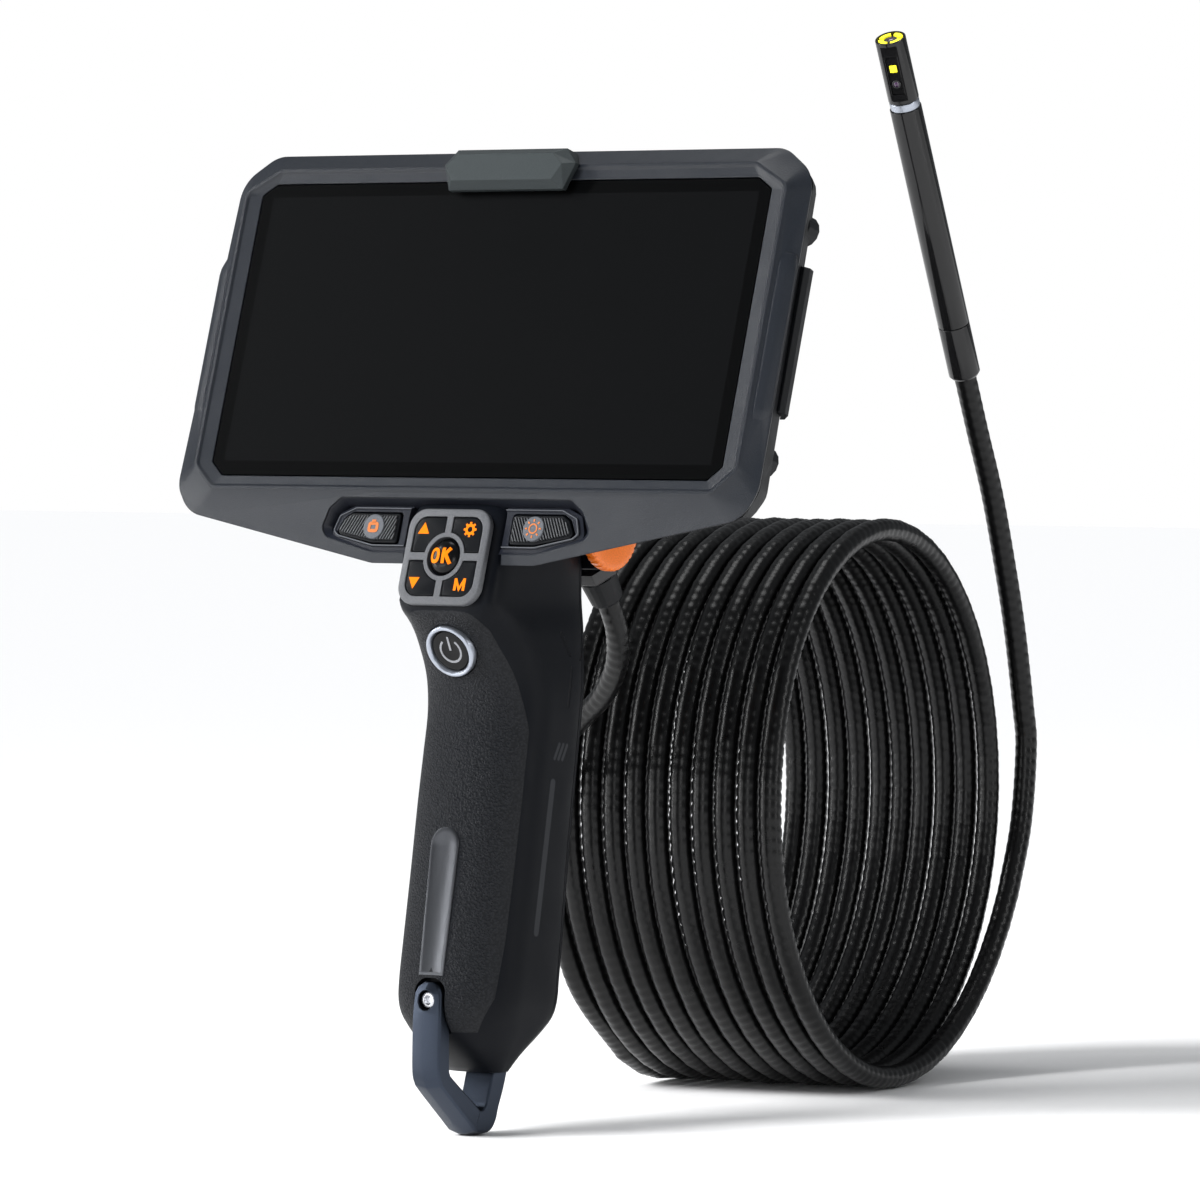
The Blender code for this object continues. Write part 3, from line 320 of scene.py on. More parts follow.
def glass_face():
    """The display: black printed border with the slightly lighter unlit picture area inside it."""
    shader = Shader("mat_glass", (0.0024, 0.0026, 0.0029), 0.45, 0.0, Specular_IOR_Level=0.03)
    centre = to_world((0, 0, 0))
    across = shader.math("ABSOLUTE", shader.dot((1, 0, 0), centre))
    height = shader.math("ABSOLUTE", shader.dot((0, math.sin(TILT), math.cos(TILT)), centre))
    inside = shader.math("MULTIPLY", shader.math("LESS_THAN", across, PICTURE[0] * MM),
                         shader.math("LESS_THAN", height, PICTURE[1] * MM))
    smudge = shader.noise(0.03, 2.0)
    lit = shader.mix(smudge, (0.0022, 0.0024, 0.0026), (0.0026, 0.0028, 0.0031))
    shader.paint(shader.mix(inside, (0.0008, 0.0009, 0.001), lit))
    shader.roughness(shader.ramp(smudge, 0.3, 0.7, 0.42, 0.48))
    return shader


def segment_mask(shader, ends, radius):
    """1 inside a round-ended stroke on the handle's right side; ends are y, z in millimetres."""
    (y0, z0), (y1, z1) = [(to_world((0, y, z)).y, to_world((0, y, z)).z) for y, z in ends]
    length = math.hypot(y1 - y0, z1 - z0)
    along = shader.dot((0, (y1 - y0) / length, (z1 - z0) / length), (0, y0, z0))
    beside = shader.dot((0, -(z1 - z0) / length, (y1 - y0) / length), (0, y0, z0))
    clamped = shader.math("MINIMUM", shader.math("MAXIMUM", along, 0.0), length)
    off = shader.math("SUBTRACT", along, clamped)
    distance = shader.math("SQRT", shader.math("ADD", shader.math("MULTIPLY", off, off),
                                               shader.math("MULTIPLY", beside, beside)))
    return shader.ramp(distance, radius * MM, (radius - 0.2) * MM)


def stroke_mask(shader, strokes, side):
    """1 inside any of several strokes, each its ends and radius, on the side where side is 1."""
    masks = [segment_mask(shader, ends, radius) for ends, radius in strokes]
    joined = masks[0]
    for mask in masks[1:]:
        joined = shader.math("MAXIMUM", joined, mask)
    return shader.math("MULTIPLY", joined, side)


def handle_plastic():
    """Dark blue-black plastic, with three moulded grooves and a plain printed stripe on the right side."""
    shader = Shader("mat_handle", (0.003, 0.0038, 0.0055), 0.42, 0.0, Specular_IOR_Level=0.10)
    grain = shader.noise(3.0)
    right = shader.math("GREATER_THAN", shader.dot((1, 0, 0)), 12 * MM)
    groove = stroke_mask(shader, GROOVES, right)
    stripe = stroke_mask(shader, STRIPES, right)
    base = shader.mix(shader.ramp(grain, 0.35, 0.65), (0.0026, 0.0033, 0.0050), (0.0036, 0.0044, 0.0064))
    base = shader.mix(groove, base, (0.003, 0.0035, 0.005))
    shader.paint(shader.mix(shader.math("MULTIPLY", stripe, 0.75), base, (0.035, 0.037, 0.041)))
    height = shader.math("SUBTRACT", shader.math("MULTIPLY", grain, 0.06), groove)
    shader.roughness(shader.ramp(shader.noise(0.12), 0.3, 0.7, 0.36, 0.46))
    shader.bump(height, 0.35, 0.25)
    return shader


GROOVES = [(((9.6, -75.4), (12.5, -80.8)), 0.5), (((20.9, -77.3), (16.9, -82.0)), 0.5),
           (((12.9, -84.0), (10.7, -93.4)), 0.5)]

STRIPES = [(((4.3, -112.0), (-2.6, -148.5)), 1.1), (((5.0, -106.0), (7.0, -102.6)), 0.55),
           (((6.6, -106.2), (8.6, -102.8)), 0.55), (((8.2, -106.4), (10.2, -103.0)), 0.55)]


def leather():
    """Pebbled grip skin whose grain fades toward the skin's edge."""
    shader = Shader("mat_grip", (0.008, 0.009, 0.011), 0.5, 0.0, Specular_IOR_Level=0.25)
    warp = shader.noise(0.9, 2.0)
    offset = shader.vector("MULTIPLY", shader.where, (1000 * 1.75,) * 3)
    shifted = shader.vector("ADD", offset, shader.node("ShaderNodeCombineXYZ", i0=warp, i1=warp,
                                                       i2=warp).outputs[0])
    pebble = shader.node("ShaderNodeTexVoronoi", {"feature": "SMOOTH_F1"}, Vector=shifted, Scale=1.0,
                         Smoothness=0.5).outputs["Distance"]
    fine = shader.noise(4.0)
    height = shader.math("ADD", shader.ramp(pebble, 0.0, 0.75, 1.0, 0.0),
                         shader.math("MULTIPLY", fine, 0.25))
    shader.paint(shader.mix(shader.ramp(pebble, 0.1, 0.7), (0.0095, 0.0105, 0.0130),
                            (0.0042, 0.0048, 0.0062)))
    shader.roughness(shader.ramp(pebble, 0.0, 0.7, 0.46, 0.66))
    fade = shader.node("ShaderNodeAttribute", {"attribute_name": "fade"}).outputs["Fac"]
    shader.bump(shader.math("MULTIPLY", height, fade), 0.3, 0.2)
    return shader


def plate_metal():
    """Nameplate: satin grey metal with a painted sheen, lighter toward its lower end and darker toward its
    upper end.
    """
    shader = Shader("mat_plate", (0.10, 0.105, 0.115), 0.34, 0.85)
    along = shader.dot((0, 0, 1), to_world((0, 0, -141)))
    lines = shader.noise(5.0, 2.0, (1, 1, 0.05))
    # painted sheen: the plate's colour runs from lighter at its lower end to darker at its upper end
    painted_sheen = shader.mix(shader.ramp(along, -0.018, 0.018), (0.085, 0.089, 0.098), (0.034, 0.036, 0.041))
    shader.paint(shader.mix(shader.math("MULTIPLY", lines, 0.35), painted_sheen, (0.10, 0.104, 0.112)))
    shader.roughness(shader.ramp(lines, 0.3, 0.7, 0.28, 0.42))
    shader.bump(lines, 0.01, 0.3)
    return shader


def board_green():
    """Circuit board: green lacquer over a fine grid of tracks."""
    shader = Shader("mat_board", (0.01, 0.09, 0.04), 0.35)
    tracks = shader.cells(0.35, "DISTANCE_TO_EDGE")
    shader.paint(shader.mix(shader.math("LESS_THAN", tracks, 0.08), (0.008, 0.07, 0.03),
                            (0.03, 0.20, 0.07)))
    shader.bump(tracks, 0.05)
    return shader


def led_yellow():
    shader = Shader("mat_led", (0.90, 0.82, 0.03), 0.35, Emission_Color=(0.95, 0.85, 0.02, 1),
                    Emission_Strength=0.55)
    shader.bump(shader.speckle(0.06, 3.0), 0.01)
    return shader


def make_materials():
    made = {
        "housing": plastic("mat_housing", (0.0085, 0.0105, 0.0145), 0.40, 0.05, 0.45, per_mm=3.2,
                           amount=0.16,
                           Specular_IOR_Level=0.42),
        "rubber": plastic("mat_rubber", (0.003, 0.0036, 0.0048), 0.5, 0.05, 0.4, Specular_IOR_Level=0.25),
        "glass": glass_face(),
        "panel": plastic("mat_panel", (0.02, 0.021, 0.022), 0.4),
        "board": board_green(),
        "badge": plastic("mat_badge", (0.035, 0.042, 0.044), 0.42, 0.02, 0.35, 0.35, 4.0, 0.10,
                         Specular_IOR_Level=0.3),
        "deck": plastic("mat_deck", (0.009, 0.0105, 0.0155), 0.42, 0.03, 0.25, Specular_IOR_Level=0.3),
        "frame": plastic("mat_frame", (0.078, 0.081, 0.088), 0.42, 0.05, 0.3, 0.1, 3.2, 0.16),
        "key": plastic("mat_key", (0.0035, 0.004, 0.005), 0.33, 0.02, 0.3, Specular_IOR_Level=0.14),
        "dome": plastic("mat_dome", (0.002, 0.002, 0.0023), 0.22, 0.002, 0.1, Specular_IOR_Level=0.22),
        "handle": handle_plastic(),
        "grip": leather(),
        "plate": plate_metal(),
        "silver": plastic("mat_silver", (0.40, 0.43, 0.49), 0.30, 0.001, 0.2, 0.9, 4.0, 0.03),
        "gloss": plastic("mat_gloss", (0.006, 0.006, 0.0065), 0.10, 0.002, 0.2, Specular_IOR_Level=0.4),
        "anodised": brushed("mat_anodised", (0.045, 0.055, 0.076), 0.36, (1, 1, 1), 2.5, 0.35),
        "steel": brushed("mat_steel", (0.62, 0.63, 0.66), 0.26, (1, 1, 1), 2.0, 0.15),
        "orange": plastic("mat_orange", (0.80, 0.17, 0.012), 0.36, 0.02, 0.3),
        "cell": plastic("mat_cell", (0.05, 0.16, 0.30), 0.35),
        "cable": plastic("mat_cable", (0.0022, 0.0022, 0.0024), 0.31, 0.02, 0.0, per_mm=1.2, amount=0.3,
                         Specular_IOR_Level=0.27),
        "lens": plastic("mat_lens", (0.035, 0.010, 0.045), 0.05, 0.001, 0.0, Coat_Weight=1.0),
        "led": led_yellow(),
        "dark": plastic("mat_dark", (0.020, 0.020, 0.021), 0.40, 0.02, 0.15),
        "print": plastic("mat_print", (0.68, 0.155, 0.002), 0.5, 0.01, 0.0, amount=0.04,
                         Specular_IOR_Level=0.1),
        "pale_print": plastic("mat_pale_print", (0.20, 0.205, 0.22), 0.4, 0.01, 0.0),
        "warm_print": plastic("mat_warm_print", (0.42, 0.135, 0.045), 0.5, 0.01, 0.0, amount=0.04,
                              Specular_IOR_Level=0.1),
        "rib": plastic("mat_rib", (0.075, 0.078, 0.083), 0.34, 0.01, 0.0, 0.3),
        "disc": plastic("mat_disc", (0.085, 0.09, 0.10), 0.42, 0.02, 0.2, Specular_IOR_Level=0.2),
    }
    return {key: shader.mat for key, shader in made.items()}


# ---------------------------------------------------------------- solids
def shape(name, points, faces, paint, angle=32):
    """A mesh from design-frame points, standing where it belongs, with its origin at the frame's."""
    mesh = bpy.data.meshes.new(name)
    bm = bmesh.new()
    verts = [bm.verts.new(to_world(p)) for p in points]
    for face in faces:
        bm.faces.new([verts[i] for i in face])
    bmesh.ops.remove_doubles(bm, verts=bm.verts, dist=1e-7)
    bmesh.ops.recalc_face_normals(bm, faces=bm.faces)
    bm.to_mesh(mesh)
    bm.free()
    obj = bpy.data.objects.new(name, mesh)
    bpy.context.scene.collection.objects.link(obj)
    mesh.materials.append(LOOK[paint])
    return soften(obj, angle)


def soften(obj, angle=32):
    obj.data.shade_smooth()
    obj.data.set_sharp_from_angle(angle=math.radians(angle))
    return obj


def place(obj, slot, *nodes, body="device"):
    """Ties a piece to the body it moves with and hides the imported solids it stands for."""
    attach(obj, body)
    if nodes:
        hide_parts(*nodes)
    return obj


def loft(rings, hoop=False):
    size = len(rings[0])
    points = [p for ring in rings for p in ring]
    pairs = [(i, i + 1) for i in range(len(rings) - 1)] + ([(len(rings) - 1, 0)] if hoop else [])
    faces = []
    for a, b in pairs:
        for k in range(size):
            n = (k + 1) % size
            faces.append((a * size + k, a * size + n, b * size + n, b * size + k))
    if not hoop:
        faces.append(tuple(reversed(range(size))))
        faces.append(tuple(range((len(rings) - 1) * size, len(rings) * size)))
    return points, faces


def face_prism(name, outline, d_low, d_high, paint, bevel=0.0):
    """An outline in the display's plane pulled toward the user, its front edge rounded by bevel."""
    rings = [[face_point(x, h, d_low) for x, h in outline]]
    steps = 4 if bevel else 0
    for k in range(steps + 1):
        angle = math.pi / 2 * k / steps if steps else 0.0
        near = inset(outline, bevel * (1 - math.cos(angle))) if k else outline
        rings.append([face_point(x, h, d_high - bevel * (1 - math.sin(angle))) for x, h in near])
    return shape(name, *loft(rings), paint)


def turned(name, profile, base, axis, paint, count=64, side=None, hoop=False):
    axis = axis.normalized()
    u = (side - axis * side.dot(axis)).normalized() if side else axis.orthogonal().normalized()
    v = axis.cross(u)
    rings = [[base + axis * along + (u * x + v * y) for x, y in circle(radius, count)] for along,
             radius in profile]
    return shape(name, *loft(rings, hoop), paint)


def combine(obj, tool, how="DIFFERENCE"):
    """Applies an exact boolean and removes the tool."""
    step = obj.modifiers.new(how.lower(), "BOOLEAN")
    step.operation, step.solver, step.object = how, "EXACT", tool
    bpy.context.view_layer.update()
    result = bpy.data.meshes.new_from_object(obj.evaluated_get(bpy.context.evaluated_depsgraph_get()))
    obj.modifiers.clear()
    obj.data = result
    bpy.data.objects.remove(tool)
    return soften(obj)


def join(obj, others):
    """Several meshes as one object, each keeping its own material."""
    bm = bmesh.new()
    slots = []
    for piece in [obj] + others:
        for mat in piece.data.materials:
            if mat not in slots:
                slots.append(mat)
        before = len(bm.faces)
        bm.from_mesh(piece.data)
        bm.faces.ensure_lookup_table()
        index = slots.index(piece.data.materials[0])
        for face in bm.faces[before:]:
            face.material_index = index if len(piece.data.materials) < 2 else face.material_index
    name = obj.name
    mesh = bpy.data.meshes.new(name)
    bm.to_mesh(mesh)
    bm.free()
    for mat in slots:
        mesh.materials.append(mat)
    obj.data = mesh
    for piece in others:
        bpy.data.objects.remove(piece)
    return soften(obj)


def ribbon(name, line, width, surface, paint, closed=False, lift=0.1, sink=0.15):
    """A printed stroke: a flat band along a line, laid on surface(x, h, lift)."""
    line = [Vector(p) for p in line]
    count = len(line)
    rings = []
    for i, here in enumerate(line):
        ahead = line[(i + 1) % count] - here if closed or i < count - 1 else here - line[i - 1]
        behind = here - line[i - 1] if closed or i else ahead
        ahead, behind = ahead.normalized(), behind.normalized()
        across = (Vector((-ahead.y, ahead.x)) + Vector((-behind.y, behind.x))).normalized()
        across *= min(2.2, 1 / max(0.3, across.dot(Vector((-ahead.y, ahead.x))))) * width / 2
        a, b = here + across, here - across
        rings.append([surface(a.x, a.y, lift), surface(here.x, here.y, lift), surface(b.x, b.y, lift),
                      surface(b.x, b.y, -sink), surface(here.x, here.y, -sink), surface(a.x, a.y, -sink)])
    return shape(name, *loft(rings, closed), paint)


def arc_line(radius_x, radius_h, count, start=0.0, sweep=math.tau, centre=(0, 0), power=1.0):
    """Points along an ellipse, or a squarer one where power is under 1."""
    steps = count if abs(sweep - math.tau) < 1e-6 else count - 1
    line = []
    for k in range(count):
        angle = start + sweep * k / steps
        c, s = math.cos(angle), math.sin(angle)
        line.append((centre[0] + radius_x * math.copysign(abs(c) ** power, c),
                     centre[1] + radius_h * math.copysign(abs(s) ** power, s)))
    return line


def on_face(depth, centre=(0.0, KEY_H)):
    """A surface function for prints on a flat at this depth of the display's frame."""
    return lambda x, h, lift: face_point(centre[0] + x, centre[1] + h, depth + lift)


# ---------------------------------------------------------------- display housing
def edge_fall(h):
    """How the frame's outer edge drops back toward the bottom of the chin."""
    return LEAN * h - CHIN_DROP * max(0.0, min(1.0, (-42.0 - h) / 17.7))


def face_ring(half, radius, d, edge=False, steps=8):
    ring = rounded(mirrored(half), radius, steps)
    return [face_point(x, h, d + (edge_fall(h) if edge else 0.0)) for x, h in ring]


def stepped(outline, rows):
    """Rings in the display's frame from one outline; each row is its inset, corner radius and depth."""
    return [[face_point(x, h, d) for x, h in rounded(inset(outline, amount), radius, 6)]
            for amount, radius, d in rows]


def shrink(half, amount):
    return inset(mirrored(half), amount)[:len(half)]


def neck_slot():
    """The space of the handle's head, with its rounded top."""
    levels = [z for z in handle_levels() if z > -72]
    rings = [[(x, y - 14 if y < 0 else y, z) for x, y, z in handle_ring(z, -0.1)] for z in levels]
    return shape("slot", *loft(rings), "dark")


def cheek_grip(sign):
    """The raised strip along one side of the frame, its two ends sunk into the slope."""
    full = [(83.4, -1.7), (84.4, -0.2), (85.0, 0.1), (86.4, -0.2), (87.9, -0.8), (88.9, -1.6),
            (89.0, -2.0), (88.3, -2.8),
            (85.2, -2.4)]
    ends = [(83.4, -1.7), (84.3, -0.9), (84.8, -0.6), (85.6, -0.9), (86.6, -1.3), (87.7, -2.0),
            (87.9, -2.3), (87.8, -2.7),
            (85.2, -2.3)]
    rings = []
    for h, blend in ((-24.0, 0.0), (-22.6, 0.45), (-21.4, 0.85), (-20.0, 1.0), (14.5, 1.0), (16.2, 0.85),
                     (17.6, 0.45),
                     (19.0, 0.0)):
        rings.append([face_point(sign * (a[0] + (b[0] - a[0]) * blend), h, a[1] + (b[1] - a[1]) * blend)
                      for a, b in zip(ends, full)])
    return shape("cheek", *loft(rings), "housing")


def bezel():
    rings = [face_ring(GLASS, 1.2, -0.25), face_ring(shrink(RIM, 1.3), 2.4, 0.15),
             face_ring(shrink(RIM, 0.8), 2.6, 0.6), face_ring(RIM, 3.0, 0.6),
             face_ring(shrink(RIM, -0.4), 3.2, 0.2),
             face_ring(OUTLINE, 9.0, CREST_D, True), face_ring(shrink(OUTLINE, 0.7), 8.6, SEAM_D, True),
             face_ring(shrink(OUTLINE, 2.9), 4.0, SEAM_D, True), face_ring(RIM, 2.4, -1.9),
             face_ring(GLASS, 1.2, -2.0)]
    piece = shape("bezel_shell", *loft(rings, hoop=True), "housing")
    for sign in (-1, 1):
        combine(piece, cheek_grip(sign), "UNION")
    combine(piece, face_prism("pocket", rounded(mirrored(POCKET), 2.2, 6), -12, 6, "dark"))
    place(combine(piece, neck_slot()), "housing", "front_bezel")
    pocket_wall()


def slope_d(h):
    """Depth of the chin's sloping face at a height."""
    return 0.2 - 3.9 * max(0.0, -42.2 - h) / 17.5


def pocket_wall():
    """The dark sloping wall inside the long pocket of the side buttons, and its floor behind the head."""
    outline = mirrored(POCKET)
    rings = stepped(outline, [(0.02, 2.2, -7.0), (1.7, 1.2, -7.0), (1.55, 1.2, -3.7)])
    rings.append([face_point(x, h, slope_d(h) - 0.25) for x, h in rounded(inset(outline, 0.02), 2.2, 6)])
    wall = shape("pocket_wall", *loft(rings, hoop=True), "deck")
    # room for the keys to travel, hidden by the keypad's frame
    width, height = FRAME_W - 0.3, FRAME_H - 0.3
    room = rounded([(-width, KEY_H - height), (width, KEY_H - height), (width, KEY_H + height),
                    (-width, KEY_H + height)], 4.6, 8)
    combine(wall, face_prism("key_room", room, -8, 3, "deck"))
    floor = face_prism("pocket_floor", rounded(inset(outline, 0.3), 2, 6), -7.0, -6.3, "deck")
    place(join(wall, [floor]), "deck")


# ---------------------------------------------------------------- side buttons
def deck(side, sign):
    """The deck round a side button, its thin bright lip and the black well."""
    plate = anticlockwise(sided(DECK, sign))
    rows = [(-0.9, 1.6, -6.2), (-0.85, 1.6, -3.4), (0.05, 1.1, -3.2), (0.28, 1.0, -2.45), (0.55, 0.9, -2.4),
            (0.75, 0.9, -2.65)]
    piece = shape("deck_" + side, *loft(stepped(plate, rows)), "deck")
    hole = rounded(inset(anticlockwise(sided(WEDGE, sign)), -0.45), 1.0, 6)
    combine(piece, face_prism("hole", hole, -5.9, 2, "dark"))
    combine(piece, neck_slot())
    lip = [(0.12, 1.1, -2.75), (0.20, 1.05, -2.40), (0.42, 0.95, -2.34), (0.50, 0.95, -2.6)]
    edge = combine(shape("lip", *loft(stepped(plate, lip), hoop=True), "disc"), neck_slot())
    place(join(piece, [edge]), "deck", "button_deck_" + side)


def clip(outline, point, normal):
    """The part of a convex outline on the side of a line that normal points to."""
    result = []
    for a, b in zip(outline, outline[1:] + outline[:1]):
        side_a = (a[0] - point[0]) * normal[0] + (a[1] - point[1]) * normal[1]
        side_b = (b[0] - point[0]) * normal[0] + (b[1] - point[1]) * normal[1]
        if side_a >= 0:
            result.append(a)
        if (side_a >= 0) != (side_b >= 0):
            t = side_a / (side_a - side_b)
            result.append((a[0] + (b[0] - a[0]) * t, a[1] + (b[1] - a[1]) * t))
    return result


def ribs(sign):
    """Slanted bars across the wedge, leaning away from the middle of the keypad."""
    area = inset(anticlockwise(sided(WEDGE, sign)), 0.75)
    lean = math.radians(27)
    across = Vector((math.cos(lean), sign * math.sin(lean)))
    made = []
    for k in range(-16, 17):
        middle = Vector((sign * 26.0, -51)) + across * (0.78 * k)
        low, high = middle - across * 0.15, middle + across * 0.15
        strip = clip(clip(area, low, across), high, -across)
        if len(strip) > 2 and outline_area(strip) > 0.12:
            made.append(face_prism("rib", anticlockwise(strip), -2.4, -1.62, "rib"))
    return made


def outline_area(outline):
    return abs(sum(a[0] * b[1] - b[0] * a[1] for a, b in zip(outline, outline[1:] + outline[:1]))) / 2


def camera_icon(surface):
    body_line = arc_line(1.2, 0.95, 36, centre=(0, -0.2), power=0.4)
    return [ribbon("icon", body_line, 0.85, surface, "warm_print", True),
            ribbon("icon", [(-0.6, 1.25), (0.6, 1.25)], 0.9, surface, "warm_print")]


def sun_icon(surface):
    made = [ribbon("icon", arc_line(1.15, 1.15, 32), 0.36, surface, "warm_print", True)]
    for k in range(8):
        angle = math.tau * k / 8
        ends = [(r * math.cos(angle), r * math.sin(angle)) for r in (1.75, 2.4)]
        made.append(ribbon("icon", ends, 0.42, surface, "warm_print"))
    return made


def side_button(sign, node, body, icon):
    wedge = rounded(anticlockwise(sided(WEDGE, sign)), 0.9, 5)
    piece = face_prism("key_" + node, wedge, -5.0, -2.15, "key", 0.3)
    base, out = face_point(sign * 24.6, -50.9, 0.0), face_point(0, 0, 1)
    rim = turned("rim", [(-3, 3.15), (-1.45, 3.15), (-1.3, 3.0), (-1.3, 1.0)], base, out, "disc")
    surface = on_face(-1.3, (sign * 24.6, -50.9))
    place(join(piece, ribs(sign) + [rim] + icon(surface)), "key", node, body=body)


# ---------------------------------------------------------------- keypad
def quadrant(sx, sy, shave, radius=3.6, inner=0.35):
    near, far_x, far_h = WEB + shave, 10.5 - shave, 10.2 - shave
    corners = [(near * sx, KEY_H + near * sy), (far_x * sx, KEY_H + near * sy),
               (far_x * sx, KEY_H + far_h * sy), (near * sx, KEY_H + far_h * sy)]
    outline = anticlockwise(corners)
    big = (far_x * sx, KEY_H + far_h * sy)
    large, small = rounded(outline, radius - shave, 8), rounded(outline, inner, 8)
    points = []
    for i, corner in enumerate(outline):
        far = abs(corner[0] - big[0]) + abs(corner[1] - big[1]) < 1e-6
        points += (large if far else small)[i * 9:(i + 1) * 9]
    return points


def key_cylinder(radius):
    return turned("round", [(-12.0, radius), (12.0, radius)], face_point(0, KEY_H, 0), face_point(0, 0, 1),
                  "dark", 96)


def dome_depth(r):
    """Height of the middle key's face over the key plane, by distance from its axis."""
    rows = [(0.0, 2.46), (1.0, 2.42), (2.4, 2.24), (3.1, 2.0), (3.7, 1.6), (4.2, 1.1), (4.6, 0.4)]
    for (r0, d0), (r1, d1) in zip(rows, rows[1:]):
        if r <= r1:
            return d0 + (d1 - d0) * (r - r0) / (r1 - r0)
    return rows[-1][1]


def on_dome(x, h, lift):
    return face_point(x, KEY_H + h, KEY_D + 0.1 + dome_depth(math.hypot(x, h)) + lift)


def straight(a, b, steps=6):
    return [(a[0] + (b[0] - a[0]) * k / steps, a[1] + (b[1] - a[1]) * k / steps) for k in range(steps + 1)]


def ok_letters():
    """The generic word on the middle key, in bold narrow strokes."""
    ring = arc_line(1.08, 1.55, 40, centre=(-1.95, 0), power=0.8)
    made = [ribbon("letter", ring, 0.86, on_dome, "print", True, 0.14)]
    for low, high, width in (((0.62, -1.98), (0.62, 1.98), 0.92), ((0.9, -0.15), (2.45, 1.98), 0.92),
                             ((1.25, 0.45), (2.65, -1.98), 0.95)):
        made.append(ribbon("letter", straight(low, high), width, on_dome, "print", False, 0.14))
    return made


def gear_print(surface):
    """Eight teeth round a ring with a hole."""
    outer, inner = [], []
    for k in range(8):
        for offset, radius in ((-0.5, 1.42), (-0.27, 1.42), (-0.2, 1.95), (0.2, 1.95), (0.27, 1.42)):
            angle = math.tau * (k + offset) / 8
            outer.append((radius * math.cos(angle), radius * math.sin(angle)))
            inner.append((0.72 * math.cos(angle), 0.72 * math.sin(angle)))
    rings = [[surface(x, h, lift) for x, h in line] for line, lift in
             ((inner, -0.1), (outer, -0.1), (outer, 0.07), (inner, 0.07))]
    return shape("gear", *loft(rings, hoop=True), "print")


def triangle_print(points, surface):
    line = anticlockwise(points)
    return shape("triangle", *loft([[surface(x, h, lift) for x, h in line] for lift in (-0.1, 0.07)]),
                 "print")


def letter_m(surface):
    made = [ribbon("letter", [(x, -8.55), (x, -5.45)], 0.78, surface, "print", False, 0.07) for x in (5.0,
                                                                                                      7.65)]
    made.append(ribbon("letter", [(5.0, -5.5), (6.32, -8.2), (7.65, -5.5)], 0.62, surface, "print", False,
                       0.075))
    return made


def keypad():
    plate = rounded([(-FRAME_W, KEY_H - FRAME_H), (FRAME_W, KEY_H - FRAME_H), (FRAME_W, KEY_H + FRAME_H),
                     (-FRAME_W, KEY_H + FRAME_H)], 4.9, 10)
    plate_piece = face_prism("keypad_plate", plate, KEY_D + 0.02, 0.15, "frame", 0.5)
    names = {(-1, 1): "up", (1, 1): "settings", (-1, -1): "down", (1, -1): "mode"}
    face = on_face(-0.05)
    prints = {"up": lambda: [triangle_print([(-9.3, 5.75), (-5.9, 5.75), (-7.6, 8.7)], face)],
              "down": lambda: [triangle_print([(-9.6, -5.35), (-6.3, -5.35), (-7.95, -8.3)], face)],
              "settings": lambda: [gear_print(on_face(-0.05, (6.5, KEY_H + 7.0)))],
              "mode": lambda: letter_m(face)}
    for (sx, sy), name in names.items():
        tool = face_prism("field", quadrant(sx, sy, 0.0), -10, 6, "dark")
        combine(plate_piece, combine(tool, key_cylinder(RING_R)))
        key = face_prism("cap_" + name, quadrant(sx, sy, 0.22, 3.4, 0.6), -3.0, -0.05, "key", 0.3)
        combine(key, key_cylinder(RING_R + 0.25))
        place(join(key, prints[name]()), "key", "key_" + name, body=name + "_key")
    place(combine(plate_piece, key_cylinder(WELL_R)), "frame", "keypad_frame")
    dome = [(-2.6, 4.62)] + [(dome_depth(r), r) for r in (4.6, 4.4, 4.2, 3.95, 3.7, 3.4, 3.1, 2.75, 2.4,
                                                          1.7, 1.0, 0.4)]
    piece = turned("cap_ok", dome, face_point(0, KEY_H, KEY_D + 0.1), face_point(0, 0, 1), "dome", 96)
    soften(piece, 60)
    place(join(piece, ok_letters()), "gloss", "key_ok", body="ok_key")


# ---------------------------------------------------------------- handle
def handle_ring(z, shave=0.0, count=120, span=None):
    """The handle's level section: a rounded front and a squarer back; the head's top edge is rounded."""
    front, back, half, square = interpolate(HANDLE, max(z, TOE_Z), z < NECK_Z)
    if z > HEAD_TOP:
        front, back, half, square = -12.2 + (z + 44.6) * HEAD_SLOPE, 25.2, 14.9, 6.5
        drop = 3.6 * (1 - math.sqrt(max(0.0, 1 - ((z - HEAD_TOP) / HEAD_ROUND) ** 2)))
        half, front, back = half - drop * 0.85, front + drop, back - drop
    middle = front + min(16.0, (back - front) * 0.5)
    half -= shave
    reach_f, reach_b = middle - front - shave, back - middle - shave
    ring = []
    for angle in span or [math.tau * k / count for k in range(count)]:
        s, c = math.sin(angle), math.cos(angle)
        power = 2 / (square if c >= 0 else 5.0)
        x = half * math.copysign(abs(s) ** power, s)
        y = middle - (reach_f if c >= 0 else reach_b) * math.copysign(abs(c) ** power, c)
        ring.append((x, y, z))
    return ring


def handle_levels():
    top = [-42.6 - 3.9 * (1 - math.cos(math.pi / 2 * k / 8)) for k in range(9)]
    head = [-50.0, -56.0, -62.0, -67.0, -68.2, -69.4, -70.4]
    grip = [NECK_Z - 1.6 * k for k in range(60)]
    toe = [-166.4 - 1.3 * k for k in range(14)]
    return top + head + [z for z in grip if z > -166] + [z for z in toe if z > TOE_Z] + [TOE_Z]


def handle_solid(name):
    return soften(shape(name, *loft([handle_ring(z) for z in handle_levels()]), "handle"), 40)


def seam_block(offset, behind):
    profile = []
    for z in [-30.0] + handle_levels() + [-190.0]:
        back = interpolate(HANDLE, z, z < NECK_Z)[1]
        profile.append((max(back, 5.0 if z < -172 else back) - HANDLE_SEAM + offset, z))
    edge = 70.0 if behind else -70.0
    outline = profile + [(edge, -190.0), (edge, -30.0)]
    return shape("seam", *loft([[(x, y, z) for y, z in outline] for x in (-40, 40)]), "dark")


